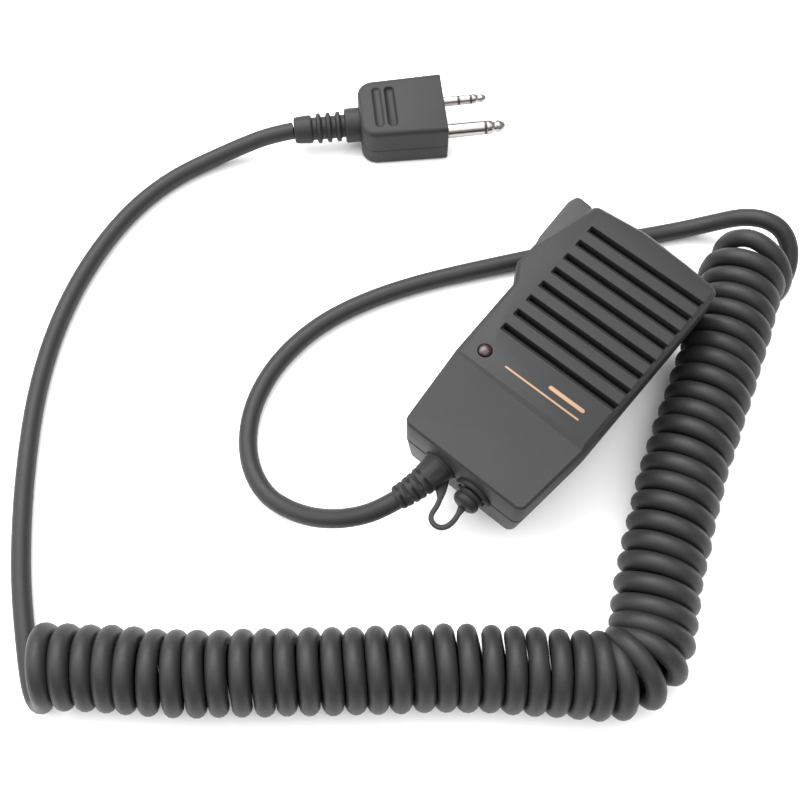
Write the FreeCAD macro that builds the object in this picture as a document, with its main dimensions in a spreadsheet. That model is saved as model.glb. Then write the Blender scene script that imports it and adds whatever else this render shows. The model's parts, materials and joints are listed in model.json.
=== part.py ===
import FreeCAD, Part
import math
import os

import Sketcher
from FreeCAD import Placement, Rotation, Vector

# Hand microphone with a curly cord and a two-pin plug, as an assembly of separate pieces.
#
# The case lies on its belt clip with its face up.  +Z is up, +Y points to the case's top end and the
# origin is on the surface it lies on, under the middle of the case with its lever, cap and tether.

# Driving dimensions, in millimetres and degrees.  Case places are measured from the case's middle.
DIMENSIONS = {
    "case_x": 2.05, "case_y": 4.99,          # the case's middle in the part's frame
    "case_width": 34.8, "case_length": 67.0,
    "back_z": 9.0, "parting_z": 18.0, "face_z": 27.0,
    "wall": 1.6, "back_draft": 3.0, "back_bevel": 0.8,
    "foot_taper": 2.4, "taper_y": -14.2,
    "bay_floor": 14.2, "bay_roof": 24.3,
    "slot_pitch": 4.376, "slot_width": 1.2, "slot_left": -12.7, "slot_length": 28.6,
    "slot_count": 8, "slot_top_y": 27.1, "slot_bevel": 0.7, "slot_bevel_depth": 0.7,
    "lamp_x": -12.0, "lamp_y": -10.7, "lamp_radius": 1.45,
    "screw_radius": 1.0, "screw_head": 2.0, "boss_radius": 2.1,
    "pivot_x": -15.3, "pivot_y": 18.2, "pin_radius": 0.9, "running_gap": 0.06,
    "speaker_x": 0.4, "speaker_y": 11.6, "speaker_radius": 14.0,
    "board_z": 12.6, "board_thick": 1.2,
    "switch_y": 23.5, "switch_z": 17.6,
    "jack_x": 3.9, "jack_z": 17.8, "jack_bore": 1.3,
    "boot_x": -5.0, "boot_z": 18.0, "boot_length": 11.4,
    "cord_radius": 2.1, "coil_radius": 9.0,
    "clip_y": 1.0, "clip_width": 14.0, "post_radius": 2.5,
    "jaw_thick": 2.0, "jaw_width": 11.4, "clip_base_z": 5.8, "clip_base_thick": 1.8,
    "hinge_y": 9.0, "hinge_z": 4.0, "hinge_radius": 0.8, "knuckle_radius": 1.6,
    "plug_length": 21.2, "plug_width": 17.6, "plug_height": 12.0, "plug_axis_z": 6.5,
    "plug_offset": 0.6, "pin_spacing": 9.0, "large_pin_radius": 1.75, "small_pin_radius": 1.25,
}

# Where the plug lies: the middle of its front face and the way its pins point.
PLUG_PLACE = Placement(Vector(-62.9, 47.35, 0), Rotation(Vector(0, 0, 1), 46.5))
# The strain relief leaves the case's foot a little to the left, drooping, and bends at its middle.
# Each bend is (turn to the left, droop below the level), in degrees.
BOOT_ROOT_BEND = (6.0, 10.0)
BOOT_TIP_BEND = (24.0, 18.0)

# The cord lies on the surface except where it comes down from the strain relief, from the plug
# and up into the loose first turn of the coil.
LEAD_ROUTE = [
    (-5.55, -39.2, 15.3), (-7.2, -42.9, 14.0), (-10.1, -46.4, 11.9), (-13.9, -49.4, 9.4),
    (-18.7, -51.9, 6.8), (-24.6, -53.5, 4.4), (-31.2, -53.9, 2.7), (-38.2, -51.2, 2.15),
    (-43.8, -46.2, 2.15), (-47.8, -39.8, 2.15), (-50.2, -32.2, 2.15), (-50.9, -24.0, 2.15),
    (-49.8, -14.4, 2.15), (-46.0, -3.8, 2.15), (-39.6, 7.8, 2.15), (-31.6, 19.2, 2.15),
    (-23.2, 30.6, 2.15), (-14.4, 42.2, 2.15), (-6.6, 52.0, 2.15), (0.4, 60.6, 2.3),
    (5.6, 66.0, 3.6), (10.6, 68.8, 6.2),
]
TAIL_ROUTE = [
    (-88.9, 20.0, 6.5), (-92.6, 15.7, 6.0), (-96.4, 10.4, 4.4), (-100.8, 2.8, 2.6),
    (-104.6, -7.0, 2.15), (-106.0, -18.4, 2.15), (-104.8, -30.8, 2.15), (-101.2, -44.2, 2.15),
    (-95.2, -57.6, 2.15), (-87.0, -70.4, 2.15), (-77.2, -82.2, 2.15), (-67.4, -92.6, 2.15),
    (-58.0, -101.4, 2.15), (-48.6, -108.8, 2.15), (-40.2, -114.6, 2.15),
]
# The middle line of the curly stretch: beside the case, round a corner, and back along its foot.
COIL_ROUTE = [
    (14.2, 70.4), (18.9, 58.4), (23.4, 46.6), (27.8, 34.4), (31.6, 22.4), (35.0, 11.0),
    (38.6, 1.2), (42.4, -7.6), (46.2, -16.2), (52.2, -31.0), (49.6, -39.6), (38.6, -46.4),
    (28.4, -54.2), (18.6, -62.6), (8.8, -71.4), (-1.2, -80.2), (-10.6, -88.2), (-19.2, -95.8),
    (-29.6, -102.6), (-43.2, -113.4),
]
COIL_CORNER = 9

doc = FreeCAD.newDocument("hand_microphone")
sheet = doc.addObject("Spreadsheet::Sheet", "Sizes")
sub_parts = []


class Size:
    """A number together with the sheet formula that gives it."""

    def __init__(self, value, formula=None):
        self.value = value
        self.formula = formula or repr(value)

    def _join(self, other, sign, value):
        return Size(value, "(%s %s %s)" % (self.formula, sign, as_size(other).formula))

    def __add__(self, other):
        return self._join(other, "+", self.value + as_size(other).value)

    def __sub__(self, other):
        return self._join(other, "-", self.value - as_size(other).value)

    def __mul__(self, other):
        return self._join(other, "*", self.value * as_size(other).value)

    def __truediv__(self, other):
        return self._join(other, "/", self.value / as_size(other).value)

    def __neg__(self):
        return Size(-self.value, "(0 - %s)" % self.formula)


def as_size(number):
    return number if isinstance(number, Size) else Size(number)


def size(alias):
    return Size(DIMENSIONS[alias], "Sizes." + alias)


def fill_sheet():
    for row, (alias, value) in enumerate(DIMENSIONS.items(), start=1):
        sheet.set("A%d" % row, alias)
        sheet.set("B%d" % row, repr(value))
        sheet.setAlias("B%d" % row, alias)
    doc.recompute()


def bind(obj, prop, number):
    """Ties a property to its formula in the sheet."""
    obj.setExpression(prop, as_size(number).formula)


def place(obj, x, y, z, rotation=None):
    """Puts an object at a place measured from the case's middle."""
    if rotation:
        obj.Placement = Placement(Vector(), rotation)
    bind(obj, "Placement.Base.x", size("case_x") + x)
    bind(obj, "Placement.Base.y", size("case_y") + y)
    bind(obj, "Placement.Base.z", z)
    return obj


def keep(obj, label):
    """Marks an object as a finished sub-part; its label names its file."""
    obj.Label = label
    sub_parts.append(obj)
    return obj


# ---- primitives and booleans -------------------------------------------------------------------

ALONG = {"z": None, "y": Rotation(Vector(1, 0, 0), -90), "x": Rotation(Vector(0, 1, 0), 90)}


def block(name, x, y, z):
    """A box between two places on each axis, each given as (low, high)."""
    obj = doc.addObject("Part::Box", name)
    for prop, (low, high) in (("Length", x), ("Width", y), ("Height", z)):
        bind(obj, prop, as_size(high) - low)
    return place(obj, x[0], y[0], z[0])


def rod(name, radius, length, x, y, z, along="z"):
    obj = doc.addObject("Part::Cylinder", name)
    bind(obj, "Radius", radius)
    bind(obj, "Height", length)
    return place(obj, x, y, z, ALONG[along])


def fuse(name, *pieces):
    obj = doc.addObject("Part::MultiFuse", name)
    obj.Shapes = list(pieces)
    return obj


def cut(name, base, *tools):
    tool = tools[0] if len(tools) == 1 else fuse(name + "_tools", *tools)
    obj = doc.addObject("Part::Cut", name)
    obj.Base = base
    obj.Tool = tool
    return obj


def common(name, first, second):
    obj = doc.addObject("Part::Common", name)
    obj.Base = first
    obj.Tool = second
    return obj


def ring(name, outer, inner, length, x, y, z, along="z"):
    """A washer: a rod with a hole right through it."""
    solid = rod(name + "_solid", outer, length, x, y, z, along)
    hole = rod(name + "_hole", inner, length, x, y, z, along)
    return cut(name, solid, hole)


def group(name, *solids):
    """Several separate solids that share one node."""
    obj = doc.addObject("Part::Compound", name)
    obj.Links = list(solids)
    return obj


# ---- bodies made from sketches -----------------------------------------------------------------

def origin_plane(body, role):
    return [item for item in body.Origin.OriginFeatures if item.Role == role][0]


def sketch(body, name, plane, corners, offset=0):
    """A closed outline of straight sides, each corner tied to the sheet."""
    obj = body.newObject("Sketcher::SketchObject", name)
    obj.AttachmentSupport = [(origin_plane(body, plane), "")]
    obj.MapMode = "FlatFace"
    bind(obj, "AttachmentOffset.Base.z", offset)
    points = [Vector(as_size(u).value, as_size(v).value, 0) for u, v in corners]
    count = len(points)
    for index in range(count):
        obj.addGeometry(Part.LineSegment(points[index], points[(index + 1) % count]))
    for index in range(count):
        obj.addConstraint(Sketcher.Constraint("Coincident", index, 2, (index + 1) % count, 1))
    for index, (u, v) in enumerate(corners):
        for kind, number in (("DistanceX", as_size(u)), ("DistanceY", as_size(v))):
            made = obj.addConstraint(Sketcher.Constraint(kind, -1, 1, index, 1, number.value))
            obj.setExpression("Constraints[%d]" % made, number.formula)
    return obj


def new_body(name, x=0, y=0, z=0, rotation=None):
    return place(doc.addObject("PartDesign::Body", name), x, y, z, rotation)


def pad(body, profile, height):
    obj = body.newObject("PartDesign::Pad", profile.Name + "_pad")
    obj.Profile = profile
    bind(obj, "Length", height)
    profile.Visibility = False
    return obj


def prism(name, corners, low, high):
    """An upright prism on a plan outline."""
    body = new_body(name)
    pad(body, sketch(body, name + "_plan", "XY_Plane", corners, low), as_size(high) - low)
    return body


def loft(name, *levels):
    """A body with flat sides through plan outlines given as (outline, height), lowest first."""
    body = new_body(name)
    profiles = [sketch(body, "%s_level%d" % (name, index), "XY_Plane", outline, height)
                for index, (outline, height) in enumerate(levels)]
    obj = body.newObject("PartDesign::AdditiveLoft", name + "_loft")
    obj.Profile = profiles[0]
    obj.Sections = profiles[1:]
    obj.Ruled = True
    return body


def turn_profile(body, profile):
    """Turns (radius, height) corners right round the body's local Z."""
    outline = sketch(body, body.Name + "_profile", "XZ_Plane", profile)
    obj = body.newObject("PartDesign::Revolution", body.Name + "_turn")
    obj.Profile = outline
    obj.ReferenceAxis = (outline, ["V_Axis"])
    obj.Angle = 360
    return body


def turned(name, profile, x=0, y=0, z=0, rotation=None):
    """A solid of revolution: profile is (radius, height) corners, turned about local Z."""
    return turn_profile(new_body(name, x, y, z, rotation), profile)


def round_edges(body, feature, radius, wanted, kind="Fillet"):
    """Rounds or chamfers the edges of a body's last feature that pass the test."""
    doc.recompute()
    names = ["Edge%d" % (index + 1) for index, edge in enumerate(feature.Shape.Edges) if wanted(edge)]
    obj = body.newObject("PartDesign::" + kind, feature.Name + "_" + kind.lower())
    obj.Base = (feature, names)
    bind(obj, "Radius" if kind == "Fillet" else "Size", radius)
    return obj


def is_upright(edge):
    first, last = edge.Vertexes[0].Point, edge.Vertexes[-1].Point
    return abs(first.z - last.z) > 1 and math.hypot(first.x - last.x, first.y - last.y) < 5


def lies_at(edge, height):
    return all(abs(vertex.Z - height) < 0.01 for vertex in edge.Vertexes)


# ---- case --------------------------------------------------------------------------------------

def case_outline(inset=0, end_inset=0):
    """The case seen from above, drawn in all round by the insets; the left side bulges at the
    foot of the push-to-talk bay and slants in above it."""
    half = size("case_width") / 2 - inset
    foot = half - size("foot_taper")
    low = -(size("case_length") / 2) + end_inset
    high = size("case_length") / 2 - end_inset
    return [
        (-foot, low + 1.6), (-foot + 0.5, low + 0.5), (-foot + 1.6, low), (foot - 1.6, low),
        (foot - 0.5, low + 0.5), (foot, low + 1.6), (half - 0.4, size("taper_y")), (half, high - 2.6),
        (half - 1.6, high - 1.1), (half - 9, high + 0.1), (-3, high + 0.9), (-half + 2, high - 0.3),
        (-half - 2.3, 16.6), (-half - 2.5, 10.5), (-half + 0.1, 6.4), (-half + 0.5, size("taper_y")),
    ]


def bay_tool():
    """The space that the push-to-talk lever swings in, open to the left and the top end."""
    corners = [(-26, 16.75), (-18.6, 16.75), (-18.6, 15.9), (-13.4, 15.9), (-13.4, 24.5),
               (-11.7, 28.6), (-11.7, 37), (-26, 37)]
    return prism("bay", corners, size("bay_floor"), size("bay_roof"))


def slot_tool():
    """The eight sound slots, each with a bevelled lower lip, as one body and a pattern."""
    top = size("face_z") + 1
    half = size("slot_width") / 2
    lip = half + size("slot_bevel")
    row = size("slot_top_y")
    body = new_body("slots", size("slot_left"))
    outline = sketch(body, "slot_section", "YZ_Plane", [
        (row + half, size("face_z") - 3), (row + half, top), (row - lip, top),
        (row - lip, size("face_z") - 0.05), (row - half, size("face_z") - size("slot_bevel_depth")),
        (row - half, size("face_z") - 3)])
    first = pad(body, outline, size("slot_length"))
    pattern = body.newObject("PartDesign::LinearPattern", "slot_row")
    pattern.Originals = [first]
    pattern.Direction = (origin_plane(body, "XZ_Plane"), [""])
    pattern.Reversed = False
    bind(pattern, "Length", size("slot_pitch") * (size("slot_count") - 1))
    bind(pattern, "Occurrences", size("slot_count"))
    body.Tip = pattern
    return body


def screw_places():
    return [(-11.4, -27.5), (11.4, -27.5), (10.8, 29.9), (-9.0, 29.9)]


def boot_rotation(bend):
    """Turns local +Z to the way the strain relief points: down the case, then left and drooping."""
    turn, droop = bend
    return Rotation(Vector(0, 0, 1), -turn) * Rotation(Vector(1, 0, 0), 90 + droop)


def boot_hole(name, radius):
    return rod(name, radius, 7, size("boot_x"), -(size("case_length") / 2) - 3, size("boot_z"), "y")


def jack_hole(name, radius):
    return rod(name, radius, 7, size("jack_x"), -(size("case_length") / 2) - 3, size("jack_z"), "y")


def front_shell():
    outer = prism("front_outer", case_outline(), size("parting_z"), size("face_z"))
    top = size("face_z").value
    round_edges(outer, outer.Tip, 0.5, lambda edge: lies_at(edge, top), "Chamfer")
    inside = prism("front_inside", case_outline(size("wall"), size("wall")), size("parting_z") - 1,
                   size("face_z") - size("wall"))
    foot_plate = prism("foot_recess", [(-20, -36), (20, -36), (20, size("taper_y")),
                                       (-20, size("taper_y"))], size("face_z") - 0.45,
                       size("face_z") + 1)
    hollow = cut("front_hollow", outer, inside, bay_tool(), slot_tool(), foot_plate)
    boss_low = size("parting_z") + 0.5
    height = size("face_z") - size("wall") / 2 - boss_low
    bosses = [rod("front_boss", size("boss_radius"), height, x, y, boss_low)
              for x, y in screw_places()]
    pin_seat = rod("pin_seat", 1.8, 2.0, size("pivot_x"), size("pivot_y"), size("bay_roof"))
    holes = [rod("front_pilot", size("screw_radius"), 5.5, x, y, boss_low - 1)
             for x, y in screw_places()]
    pin = rod("front_pin_hole", size("pin_radius"), 1.6, size("pivot_x"), size("pivot_y"),
              size("bay_roof") - 0.2)
    lamp = rod("lamp_hole", size("lamp_radius") + 0.1, 4, size("lamp_x"), size("lamp_y"),
               size("face_z") - 3)
    body = fuse("front_body", hollow, pin_seat, *bosses)
    keep(cut("front_cut", body, pin, lamp, boot_hole("front_boot_hole", 3.1),
             jack_hole("front_jack_hole", 3.1), *holes), "front_shell")


def rear_shell():
    draft = size("back_draft")
    edge = size("back_bevel")
    outer = loft("rear_outer", (case_outline(draft + edge, draft / 4 + edge), size("back_z")),
                 (case_outline(draft, draft / 4), size("back_z") + edge),
                 (case_outline(), size("parting_z")))
    wall = size("wall")
    inside = loft("rear_inside",
                  (case_outline(draft + wall, draft / 4 + wall), size("back_z") + wall),
                  (case_outline(wall, wall), size("parting_z") + 0.01))
    hollow = cut("rear_hollow", outer, inside, bay_tool())
    floor = size("back_z") + wall / 2
    bosses = [rod("rear_boss", size("boss_radius"), size("parting_z") - floor, x, y, floor)
              for x, y in screw_places()]
    seat = rod("rear_pin_seat", 1.8, size("bay_floor") - 11, size("pivot_x"), size("pivot_y"), 11)
    posts = common("rear_posts", fuse("rear_post_set", seat, *bosses), outer)
    holes = []
    for x, y in screw_places():
        holes.append(rod("rear_clearance", size("screw_radius") + 0.1, 12, x, y, floor - 2))
        holes.append(rod("rear_head_seat", size("screw_head") + 0.2, 2.4, x, y,
                         size("back_z") - 0.4))
    pin = rod("rear_pin_hole", size("pin_radius"), 2.5, size("pivot_x"), size("pivot_y"), 13)
    post = rod("post_hole", size("post_radius"), 4, 0, size("clip_y"), size("back_z") - 1)
    body = fuse("rear_body", hollow, posts)
    keep(cut("rear_cut", body, pin, post, boot_hole("rear_boot_hole", 3.1),
             jack_hole("rear_jack_hole", 3.1), *holes), "rear_shell")


def case_screws():
    screws = []
    head_z = size("back_z") + 0.6
    for x, y in screw_places():
        head = rod("screw_head", size("screw_head"), 1.4, x, y, head_z)
        shank = rod("screw_shank", size("screw_radius"), 12.2, x, y, head_z + 1)
        slot = block("screw_slot", (as_size(x) - 1.4, as_size(x) + 1.4),
                     (as_size(y) - 0.25, as_size(y) + 0.25), (head_z - 0.5, head_z + 0.6))
        screws.append(cut("screw", fuse("screw_body", head, shank), slot))
    keep(group("screws", *screws), "case_screws")


# ---- push-to-talk lever and its switch ---------------------------------------------------------

def push_to_talk_lever():
    low = size("bay_floor") + 0.4
    height = size("bay_roof") - 0.3 - low
    plan = [(-20.3, 17.0), (-15.3, 16.4), (-13.9, 31.0), (-16.4, 33.7), (-17.4, 34.5),
            (-20.4, 33.9), (-21.5, 32.0), (-20.9, 20.4)]
    blade = prism("lever_blade", plan, low, low + height)
    upper = (low + height).value
    round_edges(blade, blade.Tip, 0.5, lambda edge: lies_at(edge, upper)
                and edge.BoundBox.XMax < -17, "Chamfer")
    eye = rod("lever_eye", 1.9, height, size("pivot_x"), size("pivot_y"), low)
    hole = rod("lever_bore", size("pin_radius") + size("running_gap"), height + 2,
               size("pivot_x"), size("pivot_y"), low - 1)
    keep(cut("lever", fuse("lever_solid", blade, eye), hole), "ptt_lever")
    pin_low = 13.0
    keep(rod("lever_pin", size("pin_radius"), size("bay_roof") + 1.2 - pin_low, size("pivot_x"),
             size("pivot_y"), pin_low), "ptt_pivot_pin")


def switch():
    board_top = size("board_z") + size("board_thick")
    low, high = size("switch_y") - 3, size("switch_y") + 3
    housing = block("switch_housing", (-12.4, -8.9), (low, high), (board_top, board_top + 5.8))
    well = rod("switch_well", 1.06, 2.2, -12.6, size("switch_y"), size("switch_z"), "x")
    keep(cut("switch_body", housing, well), "ptt_switch_body")
    keep(rod("plunger", 1.0, 2.6, -14.4, size("switch_y"), size("switch_z"), "x"),
         "ptt_switch_plunger")


# ---- speaker, microphone, lamp and board -------------------------------------------------------

def speaker():
    where = (size("speaker_x"), size("speaker_y"))
    r = size("speaker_radius")
    keep(turned("basket", [(8.6, 18.8), (r - 1.9, 22.4), (r, 22.4), (r, 24.0), (r - 1.6, 24.0),
                           (r - 2.6, 22.9), (7.6, 19.6), (4.6, 19.6), (4.6, 18.8)], *where),
         "speaker_frame")
    keep(turned("cone", [(3.9, 21.0), (r - 3.2, 23.4), (r - 1.7, 24.0), (r - 1.7, 24.3),
                         (r - 3.4, 23.7), (3.9, 21.4), (0, 22.4), (0, 22.0)], *where),
         "speaker_cone")
    keep(ring("voice_coil", 3.85, 3.5, 3.0, *where, 17.9), "speaker_voice_coil")
    cup = ring("magnet_ring", 7.4, 4.3, 3.4, *where, 15.2)
    yoke = rod("magnet_yoke", 7.4, 0.9, *where, 14.3)
    pole = rod("magnet_pole", 3.1, 3.5, *where, 15.1)
    keep(fuse("magnet", cup, yoke, pole), "speaker_magnet")
    keep(ring("gasket", r, r - 1.5, 0.7, *where, 24.3), "speaker_gasket")
    keep(block("cloth", (-13.2, 15.4), (-5.4, 27.7), (25.02, 25.38)), "grille_cloth")


def microphone():
    x, y = 9.0, -9.6
    keep(rod("capsule", 2.95, 4.6, x, y, 20.0), "mic_capsule")
    keep(ring("boot_sleeve", 3.9, 2.95, 5.4, x, y, 19.6), "mic_capsule_boot")


def lamp():
    """A three millimetre lamp: a domed lens with a flange, on two leads down to the board."""
    r = size("lamp_radius")
    face = size("face_z")
    dome = [(0, face - 5), (1.9, face - 5), (1.9, face - 4.1), (r, face - 4.1), (r, face - 0.2),
            (r * 0.94, face + 0.1), (r * 0.78, face + 0.35), (r * 0.5, face + 0.58),
            (r * 0.22, face + 0.68), (0, face + 0.7)]
    keep(turned("lens", dome, size("lamp_x"), size("lamp_y")), "status_lamp")
    board_top = size("board_z") + size("board_thick")
    leads = []
    for side in (-1, 1):
        x = size("lamp_x") + 0.64 * side
        y = size("lamp_y")
        leads.append(block("lamp_lead", (x - 0.25, x + 0.25), (y - 0.25, y + 0.25),
                           (board_top, face - 5)))
    keep(group("lamp_leads_pair", *leads), "lamp_leads")


def circuit_board():
    z = size("board_z")
    top = z + size("board_thick")
    board = prism("board_blank", [(-11.2, -24.6), (11.2, -24.6), (12.6, -12), (12.6, 25.0),
                                  (-12.6, 25.0), (-12.6, -12)], z, top)
    keep(board, "circuit_board")
    inner_floor = size("back_z") + size("wall")
    posts = [rod("board_post", 1.7, z - inner_floor, x, y, inner_floor)
             for x, y in ((-8.6, -21.0), (8.6, -21.0), (9.6, 20.5), (-6.4, 20.5))]
    keep(group("posts", *posts), "board_posts")
    sizes = [(-6.5, -6.0, 3.2, 2.4, 1.4), (3.5, -13.0, 4.4, 3.6, 1.3), (-2.6, -16.0, 2.0, 3.0, 1.0),
             (9.2, -17.4, 1.8, 3.4, 1.2), (-9.4, 2.0, 2.0, 3.6, 1.2), (9.8, 4.0, 2.2, 3.0, 1.1)]
    chips = [block("chip", (x, x + dx), (y, y + dy), (top, top + dz)) for x, y, dx, dy, dz in sizes]
    can = rod("capacitor", 2.0, 5.2, -7.0, -11.5, top)
    keep(group("components", can, *chips), "board_components")


# ---- earphone jack, its cap and tether ---------------------------------------------------------

def jack():
    x, z = size("jack_x"), size("jack_z")
    foot = -(size("case_length") / 2)
    housing = block("jack_housing", (x - 3.3, x + 3.3), (foot + 2.6, foot + 12.4), (z - 3.2, z + 3.2))
    nose = rod("jack_nose", 3.0, 4.6, x, foot - 0.5, z, "y")
    bore = rod("jack_bore", size("jack_bore"), 11.0, x, foot - 1, z, "y")
    keep(cut("jack_body", fuse("jack_solid", housing, nose), bore), "earphone_jack")
    keep(ring("jack_ring", 4.2, 3.05, 0.9, x, foot - 0.95, z, "y"), "jack_ring")


def jack_cap():
    """A rubber plug whose stem fills the jack's bore; it pulls straight out."""
    x, z = size("jack_x") - 0.5, size("jack_z") - 0.3
    foot = -(size("case_length") / 2)
    stem = size("jack_bore") - 0.15
    cap = turned("cap_turned", [(0, 3.4), (1.7, 3.25), (2.6, 2.6), (2.9, 1.6), (2.9, 0.3), (2.2, 0),
                                (0, 0)], x, foot - 1.15, z, Rotation(Vector(1, 0, 0), 90))
    shaft = rod("cap_stem", stem, 6.5, size("jack_x"), foot - 1.2, size("jack_z"), "y")
    keep(fuse("cap", cap, shaft), "jack_cap")


# ---- cord, its strain relief and its clamp -----------------------------------------------------

def bend_vector(bend):
    return boot_rotation(bend).multVec(Vector(0, 0, 1))


def boot_places():
    """The strain relief's root, its middle and its tip, in the part's frame."""
    root = Vector((size("case_x") + size("boot_x")).value,
                  (size("case_y") - size("case_length") / 2).value, DIMENSIONS["boot_z"])
    half = DIMENSIONS["boot_length"] / 2
    middle = root + bend_vector(BOOT_ROOT_BEND) * half
    return root, middle, middle + bend_vector(BOOT_TIP_BEND) * half


def strain_relief():
    """A tapered rubber boot in two stretches with a ball between them, and a neck in the case."""
    root, middle, tip = boot_places()
    half = DIMENSIONS["boot_length"] / 2
    outward = (middle - root).normalize()
    upper = Part.makeCone(3.6, 3.0, half - 0.7, root + outward * 0.7, outward)
    lower = Part.makeCone(3.0, 2.6, half, middle, tip - middle)
    ball = Part.makeSphere(3.0, middle)
    neck = Part.makeCylinder(2.9, 4.2, root - Vector(0, 1, 0), Vector(0, 1, 0))
    flange = Part.makeCylinder(4.2, 1.2, root + Vector(0, 2.7, 0), Vector(0, 1, 0))
    obj = doc.addObject("Part::Feature", "boot")
    obj.Shape = upper.multiFuse([ball, lower, neck, flange]).removeSplitter()
    keep(obj, "strain_relief")


def inner_cord():
    x, z = size("boot_x"), size("boot_z")
    foot = -(size("case_length") / 2)
    keep(rod("core", size("cord_radius"), 6.0, x, foot + 3.9, z, "y"), "cord_inner_end")
    low, high = foot + 5.0, foot + 8.6
    radius = size("cord_radius")
    saddle = block("saddle", (x - 3.9, x + 3.9), (low, high), (z + radius * 0.6, z + radius + 1.2))
    groove = rod("saddle_groove", radius, 8, x, foot + 2.4, z, "y")
    keep(cut("clamp", saddle, groove), "cord_clamp")
    inner_floor = size("back_z") + size("wall")
    rest = block("rest", (x - 3.9, x + 3.9), (low, high), (inner_floor, z - radius * 0.6))
    rest_groove = rod("rest_groove", radius, 8, x, foot + 2.4, z, "y")
    keep(cut("clamp_rest", rest, rest_groove), "cord_clamp_rest")


def route_edges(points):
    """Straight runs joined by tangent arcs, each as large as its two runs allow."""
    edges, radii = [], []
    start = points[0]
    for before, here, after in zip(points, points[1:], points[2:]):
        back, on = before - here, after - here
        half_turn = (math.pi - back.getAngle(on)) / 2
        reach = 0.45 * min(back.Length, on.Length)
        radius = reach / math.tan(half_turn)
        back.normalize()
        on.normalize()
        first, last = here + back * reach, here + on * reach
        inward = (back + on).normalize()
        middle = here + inward * (radius / math.cos(half_turn) - radius)
        edges.append(Part.LineSegment(start, first).toShape())
        edges.append(Part.Arc(first, middle, last).toShape())
        radii.append(radius)
        start = last
    edges.append(Part.LineSegment(start, points[-1]).toShape())
    return edges, radii


def tube(name, edges, radius):
    """A plain round tube along the edges; its volume has to be its section times its length."""
    wire = Part.Wire(edges)
    start = edges[0].valueAt(edges[0].FirstParameter)
    heading = edges[0].tangentAt(edges[0].FirstParameter)
    section = Part.Wire([Part.makeCircle(radius, start, heading)])
    obj = doc.addObject("Part::Feature", name)
    obj.Shape = wire.makePipeShell([section], True, False)
    expected = math.pi * radius ** 2 * wire.Length
    if abs(obj.Shape.Volume / expected - 1) > 0.01:
        raise RuntimeError("%s holds %.0f, not %.0f" % (name, obj.Shape.Volume, expected))
    print("%s: length %.1f mm" % (name, wire.Length))
    return keep(obj, name)


def cord():
    thin = DIMENSIONS["cord_radius"]
    for name, route in (("cord_lead", LEAD_ROUTE), ("cord_tail", TAIL_ROUTE)):
        edges, radii = route_edges([Vector(*point) for point in route])
        print(name, "radii", ["%.1f" % radius for radius in radii])
        tube(name, edges, thin)
    fat = DIMENSIONS["coil_radius"]
    edges, radii = route_edges([Vector(x, y, fat) for x, y in COIL_ROUTE])
    print("coil radii", ["%.1f" % radius for radius in radii])
    split = 2 * COIL_CORNER
    tube("cord_coil_side", edges[:split], fat)
    tube("cord_coil_front", edges[split:], fat)


# ---- plug --------------------------------------------------------------------------------------

def on_plug(obj):
    """Carries a piece made in the plug's own frame, +X along its pins, to where the plug lies."""
    obj.Placement = PLUG_PLACE * obj.Placement
    return obj


def plug_rod(name, radius, x, y, length):
    obj = doc.addObject("Part::Cylinder", name)
    bind(obj, "Radius", radius)
    bind(obj, "Height", length)
    obj.Placement = Placement(Vector(x, as_size(y).value, DIMENSIONS["plug_axis_z"]), ALONG["x"])
    return on_plug(obj)


def plug_turned(name, profile, x, y):
    """A piece turned about a line along the plug: profile is (radius, distance along) corners."""
    body = turn_profile(doc.addObject("PartDesign::Body", name), profile)
    where = Vector(x, as_size(y).value, DIMENSIONS["plug_axis_z"])
    body.Placement = PLUG_PLACE * Placement(where, ALONG["x"])
    return body


def plug_body():
    """A moulded block, a little wider on the small pin's side, with a recess for the thumb."""
    length, half, offset = size("plug_length"), size("plug_width") / 2, size("plug_offset")
    body = doc.addObject("PartDesign::Body", "plug_block")
    outline = sketch(body, "plug_plan", "XY_Plane", [
        (-length, offset - half + 0.6), (0, offset - half), (0, offset + half),
        (-length, offset + half - 0.6)])
    block_pad = pad(body, outline, size("plug_height"))
    rear = -length.value
    corners = round_edges(body, block_pad, 3.6, lambda edge: is_upright(edge)
                          and edge.BoundBox.XMax < rear + 1)
    top = size("plug_height").value
    softened = round_edges(body, corners, 1.1, lambda edge: lies_at(edge, top)
                           and edge.BoundBox.XMin < -1)
    recess = sketch(body, "recess_plan", "XY_Plane", [
        (rear + 3.4, -5.4), (rear + 9.2, -5.4), (rear + 9.2, 6.4), (rear + 3.4, 6.4)],
        size("plug_height"))
    doc.recompute()
    pocket = body.newObject("PartDesign::Pocket", "thumb_recess")
    pocket.Profile = recess
    pocket.Length = 0.7
    doc.recompute()
    if pocket.Shape.Volume > softened.Shape.Volume - 10:
        raise RuntimeError("the thumb recess cuts nothing")
    body.Placement = PLUG_PLACE
    keep(body, "plug_body")


def plug_boot():
    """A ribbed boot: a collar against the plug, three ribs and a collar at the cord."""
    profile = [(0, 0), (4.2, 0), (4.2, 3.6)]
    along = 3.6
    for rib in range(3):
        profile += [(2.7, along), (2.7, along + 1.0), (3.7, along + 1.1), (3.6, along + 2.4)]
        along += 2.4
    profile += [(2.7, along), (2.7, along + 1.0), (3.4, along + 1.1), (3.1, 16.4), (0, 16.4)]
    body = turn_profile(doc.addObject("PartDesign::Body", "boot_body"), profile)
    where = Vector(-DIMENSIONS["plug_length"], 0, DIMENSIONS["plug_axis_z"])
    body.Placement = PLUG_PLACE * Placement(where, Rotation(Vector(0, 1, 0), -90))
    keep(body, "plug_boot")


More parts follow.
